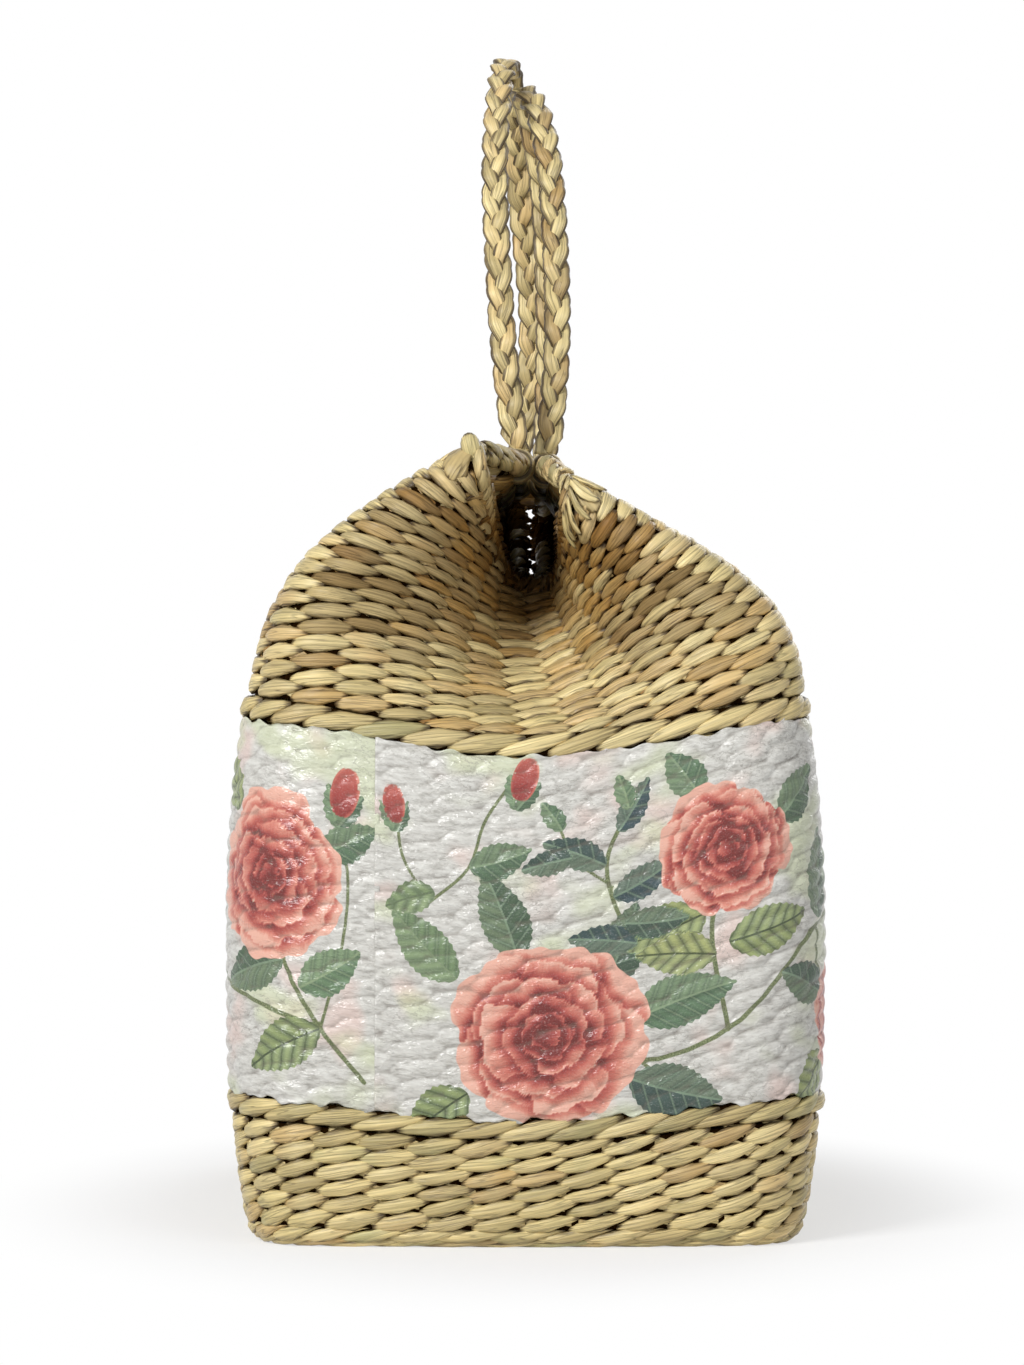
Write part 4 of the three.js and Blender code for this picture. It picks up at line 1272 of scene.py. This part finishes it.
# %% Rims on the long sides and round the ends
for panel, side, first, last in PANELS:
    on_flap = panel.endswith("upper_wall")
    near, far = panel.startswith("near"), panel.startswith("far")
    node = f"{side}_rim" if on_flap else f"{panel}_rim"
    columns = np.linspace(line_at(side, first, 1.0), line_at(side, last, 1.0), 200 if on_flap else 80)
    piece = wrapped_rim(f"{node}_wrapping", columns, SLOT_RIM_RADIUS if near else RIM_RADIUS, far)
    if far:
        piece = join(piece.name, piece, slot_fibres(side))
    if near:
        piece = join(piece.name, piece, edge_leaves(side, columns), *ear_leaves(side, columns))
    dress(piece, node, "reed_border", f"{side}_flap", flex=None if on_flap else side)
    print(piece.name, len(piece.data.polygons), "faces")

# %% [markdown]
# ## Plaited handles
# Each handle is a flat plait of three reeds. In a plait every strand swings from side to side once
# in a repeat and passes over and under twice, so its middle line is a sine across the plait and a
# sine of twice the rate through its thickness.

# %% Sizes of the plait, its loops and its middle line
PLAIT_REPEAT = 37
PLAIT_SWING = 2.55
PLAIT_WEAVE = 1.7
REED_HALF_WIDTH = 3.2
REED_HALF_THICK = 1.1
# The loops round a rim: three turns of strand, each an oval of these half sizes.
LOOP_STEP, LOOP_RADIUS = 3.9, 5.6
LOOP_HALF_WIDTH, LOOP_HALF_THICK = 2.3, 1.15
HANDLE_POINTS = 400
PLAIT_STARTS = 5.8  # above the middle of the rim
PLAIT_STEPS = 26  # in a repeat


def handle_path(side, start):
    """The middle line of a handle, from just above its rim on one side to the other."""
    reach, rise, sway = (HANDLES[side][k] for k in ("reach", "rise", "sway"))
    curve = catmull([(x, i, 0) for i, x in enumerate(sway)], HANDLE_POINTS)
    rim_x = SIGN[side] * rim_out(side)
    first = math.asin(start / rise)
    points = []
    for angle in np.linspace(first, math.pi - first, HANDLE_POINTS):
        offset = np.interp(angle / math.pi * (len(sway) - 1), curve[:, 1], curve[:, 0])
        points.append((rim_x + offset, -reach * math.cos(angle), SIDES[side]["rim"] + rise * math.sin(angle)))
    return resample(np.array(points), HANDLE_POINTS)


def frames(path, first_wide):
    """Two directions across a path at each point, carried along without twist."""
    tangents = unit(np.gradient(path, axis=0))
    wides = [np.array(first_wide, float)]
    for tangent in tangents:
        wides.append(square_to(tangent, wides[-1]))
    wides = np.array(wides[1:])
    return wides, np.cross(tangents, wides)


# %% Strands of the plait and of its loops
def plait_strands(side):
    path = handle_path(side, PLAIT_STARTS)
    runs = run_of(path)
    s = np.linspace(0, runs[-1], int(runs[-1] / PLAIT_REPEAT * PLAIT_STEPS))
    lines = (path, *frames(path, (1, 0, 0)))
    centre, wide, thick = (interpolate(s, runs, line)[None, :, None] for line in lines)
    theta = circle(12)
    phase = 2 * math.pi * (s[None] / PLAIT_REPEAT + np.arange(3)[:, None] / 3)
    leaf = np.abs(np.sin(2 * phase))[..., None]
    from_foot = np.minimum(s, runs[-1] - s)[:, None]
    x = PLAIT_SWING * np.sin(phase)[..., None] + REED_HALF_WIDTH * (0.76 + 0.24 * leaf) * np.cos(theta)
    x = SIGN[side] * np.minimum(SIGN[side] * x, 1.0 + 0.6 * from_foot)
    slim = 0.6 + 0.4 * smoothstep(from_foot, 0, 14)
    h = REED_HALF_THICK * (1.3 - 0.3 * leaf) * np.sin(theta)
    h = slim * (h - PLAIT_WEAVE * np.sin(2 * phase)[..., None])
    rings = centre + x[..., None] * wide + h[..., None] * thick
    fibre = fibre_map(x.shape, s[None, :, None], theta * 2.2)
    return grid_strands(f"{side}_handle_plait_strands", rings, tones(3, 0.22, 0.58), fibre)


def loop_strands(side, end):
    turn, theta = circle(32)[:, None], circle(8)[None, :]
    rings = np.zeros((3, 32, 8, 3))
    for k in range(3):
        radius = LOOP_RADIUS + 0.25 * (k - 1) + LOOP_HALF_THICK * np.sin(theta)
        middle = SIGN[end] * HANDLES[side]["reach"] + (k - 1) * LOOP_STEP
        rings[k, ..., 0] = SIGN[side] * rim_out(side) + radius * np.cos(turn)
        rings[k, ..., 1] = middle + 0.8 * np.sin(turn + k) + LOOP_HALF_WIDTH * np.cos(theta)
        rings[k, ..., 2] = SIDES[side]["rim"] + radius * np.sin(turn)
    fibre = fibre_map(rings.shape[:3], turn * 5, theta * 2)
    name = f"{side}_handle_{end}_loop_strands"
    loop = grid_strands(name, rings, tones(3, 0.35, 0.65), fibre, closed_run=True)
    select_only(loop)
    bpy.ops.object.mode_set(mode="EDIT")
    bpy.ops.mesh.select_all(action="SELECT")
    bpy.ops.mesh.normals_make_consistent(inside=False)
    bpy.ops.object.mode_set(mode="OBJECT")
    return loop


# %% Both handles
for side in SIDES:
    dress(plait_strands(side), f"{side}_handle_plait", "reed_plait", f"{side}_handle")
    for end in ENDS:
        dress(loop_strands(side, end), f"{side}_handle_{end}_loop", "reed_plait", f"{side}_handle")
print("handles", [piece.name for piece, _ in dressed[-6:]])

# %% [markdown]
# ## Finishes
# All looks come from node trees that read what each mesh says of its reeds: how far along and
# across the reed a point lies in millimetres, and the tone, hue and seed of the reed. One function
# adds every node, and a pattern's size is given per millimetre.


# %% Nodes and colours
def linear(hex_colour):
    """A colour as a screen shows it, turned into the light that Blender reckons with."""
    parts = [int(hex_colour[i:i + 2], 16) / 255 for i in (1, 3, 5)]
    return tuple(p / 12.92 if p <= 0.04045 else ((p + 0.055) / 1.055) ** 2.4 for p in parts) + (1.0,)


def fill(tree, node, sockets):
    """Gives sockets, in order or by name, a value, a hex colour or the output of another node."""
    for key, value in (sockets.items() if isinstance(sockets, dict) else enumerate(sockets)):
        if isinstance(value, bpy.types.NodeSocket):
            tree.links.new(value, node.inputs[key])
        else:
            node.inputs[key].default_value = linear(value) if isinstance(value, str) else value


def add_node(tree, kind, sockets=(), stops=(), out=0, **settings):
    """Adds a node with its own settings and the stops of its ramp, and returns one of its outputs."""
    node = tree.nodes.new(f"ShaderNode{kind}")
    for key, value in settings.items():
        setattr(node, key, value)
    for i, (place, colour) in enumerate(stops):
        stop = node.color_ramp.elements[i] if i < 2 else node.color_ramp.elements.new(place)
        stop.position, stop.color = place, linear(colour)
    fill(tree, node, sockets)
    return node.outputs[out]


def start_material(name):
    material = bpy.data.materials.new(name)
    material.use_nodes = True
    tree = material.node_tree
    return material, tree, partial(add_node, tree), tree.nodes["Principled BSDF"]


# Settings that many nodes share. A mixing node has its colours in sockets 6 and 7, and a soft range
# takes a value from 0 to 1, or between the two numbers that follow, as it passes a low and a high.
SOFT = {"interpolation_type": "SMOOTHSTEP"}
COLOUR = {"data_type": "RGBA", "out": 2}
TIMES, PLUS, MINUS = ({"operation": o} for o in ("MULTIPLY", "ADD", "SUBTRACT"))
TIMES_PLUS, SIZE_OF = {"operation": "MULTIPLY_ADD"}, {"operation": "ABSOLUTE"}

# %% [markdown]
# ## Water reed
# Water reed is cut, dried in the sun and twined damp. It dries to a straw skin with a waxy sheen,
# lined with fine fibres and a few creases, and some reeds are older and browner. So the eye gets
# pale backs with soft glints, and reeds that each have a tone of their own. Painted shade darkens
# the creases, browns the edges where reed rolls under reed, and darkens the fold and the inside.

# %% Dried and twined water reed
# The last colour, near black, is painted shade: stakes in the gaps, ends in the far slot, wraps facing it.
REED_COLOURS = [
    (0.0, "#BBB27E"), (1.0, "#241505"), (0.12, "#D0BE86"), (0.3, "#DDC88E"), (0.45, "#E2CF97"),
    (0.6, "#D3B780"), (0.72, "#C8A668"), (0.84, "#BC9250"), (0.94, "#A2783C")]
UNLIT_HUE = 0.97


def reed_material():
    """Sun-dried reed: streaks and creases give it fibre, and painted brown shade at the edges parts reed from
    reed.
    """
    material, tree, add, shader = start_material("dried_water_reed")
    strand = add("Attribute", out="Vector", attribute_name="strand")
    tone, hue, seed = add("SeparateXYZ", [strand]).node.outputs
    fibre = add("UVMap", uv_map="fibre")
    apart = add("CombineXYZ", [seed, tone, seed])
    far_apart = add("VectorMath", {0: apart, "Scale": 90.0}, operation="SCALE")

    def grain(along, across, detail):
        stretched = add("Mapping", {"Vector": fibre, "Scale": (along, across, 1.0)})
        moved = add("VectorMath", [stretched, far_apart], **PLUS)
        return add("TexNoise", {"Vector": moved, "Scale": 1.0, "Detail": detail, "Roughness": 0.55})

    # Fibres 20 mm long and 0.8 mm wide, creases 33 by 1.8 mm, and patches 20 mm across. Real fibres
    # are finer, but they wouldn't show at this distance.
    streaks = grain(0.05, 1.3, 4.0)
    creases = grain(0.03, 0.55, 1.0)
    patches = grain(0.045, 0.05, 1.0)

    # The hue wanders along a reed, except on the cut ends and the stakes, which stay near black as painted
    # shade.
    is_reed = add("Math", [hue, UNLIT_HUE], operation="LESS_THAN")
    wander = add("Math", [patches, 0.5, -0.25], **TIMES_PLUS)
    place = add("Math", [hue, add("Math", [wander, is_reed], **TIMES)], **PLUS)
    place = add("Math", [place, 0.0], operation="MAXIMUM")
    place = add("Math", [place, add("Math", [hue, 0.93], operation="MAXIMUM")], operation="MINIMUM")
    colour = add("ValToRGB", [place], REED_COLOURS)

    # Each reed has its tone, its fibres and a crease or two. Painted shade darkens the creases, and
    # painted brown shade lies along the edges and tips, where a reed rolls under its neighbours.
    crease = add("Math", [add("Math", [creases, 0.5], **MINUS)], **SIZE_OF)
    edge = add("Attribute", out="Fac", attribute_name="edge")
    painted_edge_shade = add("Math", [add("Math", [0.5, streaks], **MINUS), 1.4, edge], **TIMES_PLUS)
    shade = add("MapRange", [streaks, 0.3, 0.7, 0.62, 1.12])
    for share in (
            add("Math", [tone, 0.3, 0.8], **TIMES_PLUS),
            add("MapRange", [crease, 0.0, 0.035, 0.65, 1.0], **SOFT),
            add("MapRange", [painted_edge_shade, 0.28, 0.95, 1.0, 0.32], **SOFT)):
        shade = add("Math", [shade, share], **TIMES)
    brown = add("MapRange", [painted_edge_shade, 0.28, 0.95, 0.0, 0.7], **SOFT)
    colour = add("Mix", {0: brown, 6: colour, 7: "#6E4A20"}, **COLOUR)

    # A low tone stands for age, and for painted shade where dark lowers it: browner, darker, without wax.
    age_and_painted_shade = add("MapRange", [tone, 0.5, -1.1, 0.0, 0.6], **SOFT)
    colour = add("Mix", {0: age_and_painted_shade, 6: colour, 7: "#9C6A30"}, **COLOUR)
    gloss = add("Math", [is_reed, add("MapRange", [tone, 0.5, -1.1, 0.42, 0.07], **SOFT)], **TIMES)

    # The fibres stand up and the creases sink in, by up to 0.8 mm.
    ridges = add("Math", [creases, 1.2, streaks], **TIMES_PLUS)
    height = add("Math", [ridges, add("MapRange", [crease, 0.0, 0.035, -0.5, 0.0], **SOFT)], **PLUS)
    fill(tree, shader, {
        "Base Color": add("VectorMath", {0: colour, "Scale": shade}, operation="SCALE"),
        "Normal": add("Bump", {"Strength": 0.6, "Distance": 0.0008, "Height": height}),
        "Specular IOR Level": gloss,
        "Roughness": 0.4,
    })
    return material


twined_reed = reed_material()
print(twined_reed.name, len(twined_reed.node_tree.nodes), "nodes")

# %% [markdown]
# ## Varnished paper
# Thin printed paper is torn into sheets, pasted over the painted weave while wet, so that it sinks
# between the stitches, and varnished. The eye gets a dull off-white ground with faint stains, a
# crisp print that rides over the bumps, grooves greyed with painted shade, and a hard gloss on top.


# %% Ground of the paper
def stained_paper(add, noise):
    """Brush marks 5 by 1.7 mm, pink and green stains about 40 mm across, and faint scribbles."""
    scribble = add("Math", [add("Math", [noise(0.12, 5.0, 2.0), 0.5], **MINUS)], **SIZE_OF)
    broken = add("MapRange", [noise(0.03, 1.0), 0.42, 0.6, 0.0, 0.5], **SOFT)
    line = add("Math", [add("MapRange", [scribble, 0.004, 0.02, 1.0, 0.0], **SOFT), broken], **TIMES)
    picture = add("ValToRGB", [noise(0.2, 3.0, 3.0)], [
        (0.28, "#9C9A93"), (0.66, "#CECDC7"), (0.46, "#BDBBB5")])
    for share, tint in (
            (add("MapRange", [noise(0.028, 2.0), 0.52, 0.66, 0.0, 0.5], **SOFT), "#D9B8AE"),
            (add("MapRange", [noise(0.021, 2.0, 1.4), 0.52, 0.64, 0.0, 0.55], **SOFT), "#BFC79E"),
            (line, "#7F7B73")):
        picture = add("Mix", {0: share, 6: picture, 7: tint}, **COLOUR)
    return picture


# %% Inks of the leaves and petals
def leaf_ink(add, along, across, tone):
    """Blue-green to yellow-green by its tone, with side veins every 5.2 mm and one paler half."""
    width = add("Math", [across], **SIZE_OF)
    rays = add("Math", [add("Math", [width, -0.8, along], **TIMES_PLUS), 2.6], operation="PINGPONG")
    green = add("ValToRGB", [tone], [
        (0.0, "#33454A"), (1.0, "#A3A66C"), (0.12, "#41543F"), (0.38, "#5F7A5C"), (0.65, "#8A9560")])
    lines = add("ValToRGB", [tone], [
        (0.0, "#6B7F6C"), (1.0, "#4A5230"), (0.42, "#80926F"), (0.55, "#39472B")])
    half = add("MapRange", [across, -0.3, 0.3, 0.0, 0.22], **SOFT)
    swell = add("MapRange", [rays, 0.3, 2.4, 0.55, 1.0], **SOFT)
    side_vein = add("Math", [add("MapRange", [rays, 0.15, 0.55], **SOFT), 0.45], operation="MAXIMUM")
    middle_vein = add("MapRange", [width, 0.2, 0.55], **SOFT)
    green = add("Mix", {0: half, 6: green, 7: "#A9B890"}, **COLOUR)
    for share, under in ((swell, "#33453A"), (side_vein, lines), (middle_vein, lines)):
        green = add("Mix", {0: share, 6: under, 7: green}, **COLOUR)
    return green


def petal_ink(add, shade, vein):
    """Fine rays run out from the base of a petal, and its red deepens inwards."""
    fine = add("TexNoise", {"Vector": add("CombineXYZ", [vein, shade]), "Scale": 1.4, "Detail": 3.0})
    depth = add("Math", [shade, add("Math", [fine, 0.34, -0.17], **TIMES_PLUS)], **PLUS)
    return add("ValToRGB", [depth], [
        (0.0, "#D6A492"), (1.0, "#6E2622"), (0.22, "#C67F6E"), (0.48, "#AF5B4F"), (0.75, "#923C37")])


# %% Printed paper, pasted on and varnished
def paper_material():
    """Pasted paper under varnish: bumps and fine crinkles break up a smooth gloss."""
    material, tree, add, shader = start_material("varnished_printed_paper")
    fibre = add("UVMap", uv_map="fibre")

    def noise(scale, detail, stretch=1.0):
        spot = add("Mapping", {"Vector": fibre, "Scale": (scale, scale * stretch, scale)})
        return add("TexNoise", {"Vector": spot, "Scale": 1.0, "Detail": detail, "Roughness": 0.6})

    def parts(name):
        return add("SeparateXYZ", [add("Attribute", out="Vector", attribute_name=name)]).node.outputs

    leaf, along, across = parts("leaf")
    petal, shade, vein = parts("petal")
    stem, leaf_tone, groove = parts("stem")

    # Stems, leaves with teeth every 2.8 mm, and petals lie over the paper. An outline is cut where the
    # distance passes 0, softly over a third of a millimetre. Rubbed grit of 0.6 mm, and painted shade
    # that greys the grooves, lie over all of it.
    grit = noise(1.6, 3.0)
    stalk = add("ValToRGB", [grit], [(0.35, "#4B5739"), (0.65, "#7A8257")])
    teeth = add("Math", [add("Math", [along, 1.4], operation="PINGPONG"), 0.55, -0.5], **TIMES_PLUS)
    toothed = add("Math", [leaf, teeth], **PLUS)
    picture = stained_paper(add, noise)
    for depth, low, high, most, over in (
            (stem, -0.15, 0.2, 1.0, stalk),
            (toothed, -0.15, 0.15, 1.0, leaf_ink(add, along, across, leaf_tone)),
            (petal, -0.1, 0.25, 1.0, petal_ink(add, shade, vein)),
            (grit, 0.5, 0.78, 0.22, "#C6C2BC"),
            (groove, 0.2, 1.0, 0.5, "#5E564C")):
        share = add("MapRange", [depth, low, high, 0.0, most], **SOFT)
        picture = add("Mix", {0: share, 6: picture, 7: over}, **COLOUR)

    # Crinkles: folds about 10 mm long that the paste left, with a little grit, up to 0.7 mm deep.
    folds = add("Math", [add("Math", [noise(0.1, 3.0, 2.2), 0.5], **MINUS)], **SIZE_OF)
    folds = add("MapRange", [folds, 0.0, 0.09, 0.0, -1.0], **SOFT)
    crinkle = add("Math", [grit, 0.06, folds], **TIMES_PLUS)
    fill(tree, shader, {
        "Base Color": picture,
        "Normal": add("Bump", {"Strength": 0.3, "Distance": 0.0007, "Height": crinkle}),
        "Roughness": 0.3,
        "Specular IOR Level": 0.5,
    })
    return material


printed_paper = paper_material()
print(printed_paper.name, len(printed_paper.node_tree.nodes), "nodes")

# %% Finish every piece
for piece, slot in dressed:
    piece.data.materials.clear()
    piece.data.materials.append(printed_paper if slot == "varnished_paper" else twined_reed)
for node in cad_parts.values():
    node.data.materials.clear()
    node.data.materials.append(twined_reed)
print("finished", len(dressed), "pieces")

# %% [markdown]
# ## Floor, world and lamps
# The hamper stands on matt white card, as in a studio. Near the hamper the card takes its shadow.
# Further out it shows plain white to the eye but still lights the reed as card does. A small key
# lamp from the left front gives the stitches their relief, and two wide lamps open the shadows.


# %% What the camera sees
def seen_directly(add):
    """1 for rays from the camera and for mirrored or passing rays, and 0 for the light that falls."""
    rays = add("LightPath").node.outputs
    seen = add("Math", [rays["Is Camera Ray"], rays["Is Glossy Ray"]], operation="MAXIMUM")
    return add("Math", [seen, rays["Is Transmission Ray"]], operation="MAXIMUM")


# %% Floor of matt white card
bpy.ops.mesh.primitive_plane_add(size=12, location=(0, 0, 0))
floor = bpy.context.object
floor.name = "floor"
card, tree, add, shader = start_material("matt_white_card")
fill(tree, shader, {"Base Color": "#F2F2F2", "Roughness": 0.9})
# An oval round the hamper, with half sizes of 0.24 by 0.37 m, takes the whole shadow.
squeezed = add("VectorMath", {0: add("TexCoord", out="Object"), 1: (8.5, 5.4, 0)}, **TIMES)
away = add("VectorMath", [squeezed], out="Value", operation="LENGTH")
clear = add("MapRange", [away, 1.0, 1.9, 0.55, 1.0], **SOFT)
share = add("Math", [seen_directly(add), clear], **TIMES)
blended = add("MixShader", [share, shader.outputs[0], add("Emission", ["#FFFFFF", 1.0])])
fill(tree, tree.nodes["Material Output"], {"Surface": blended})
floor.data.materials.append(card)

# %% World
world = bpy.data.worlds.new("studio")
bpy.context.scene.world = world
world.use_nodes = True
tree = world.node_tree
add = partial(add_node, tree)
ground = tree.nodes["Background"]
fill(tree, ground, {"Color": (0.95, 0.97, 1.0, 1), "Strength": 0.2})
chosen = add("MixShader", [seen_directly(add), ground.outputs[0], add("Background", ["#FFFFFF", 1.0])])
fill(tree, tree.nodes["World Output"], {"Surface": chosen})

# %% Lamps, with their place, size in metres and power in watts
LAMP_AIM = np.array([0, 0, 0.2])
for name, place, size, power in (
        ("key_lamp", (-1.2, -1.8, 1.4), 0.8, 51),
        ("fill_lamp", (1.4, -1.6, 0.9), 1.4, 11),
        ("back_lamp", (0.9, 1.9, 1.2), 1.4, 16)):
    bpy.ops.object.light_add(type="AREA", location=place)
    lamp = bpy.context.object
    lamp.name = name
    lamp.data.size = size
    lamp.data.energy = power
    x, y, z = unit(LAMP_AIM - np.array(place))
    lamp.rotation_euler = (math.acos(-z), 0, math.atan2(y, x) - math.pi / 2)
    print(name, power, "W")
bpy.context.scene.view_settings.view_transform = "Standard"
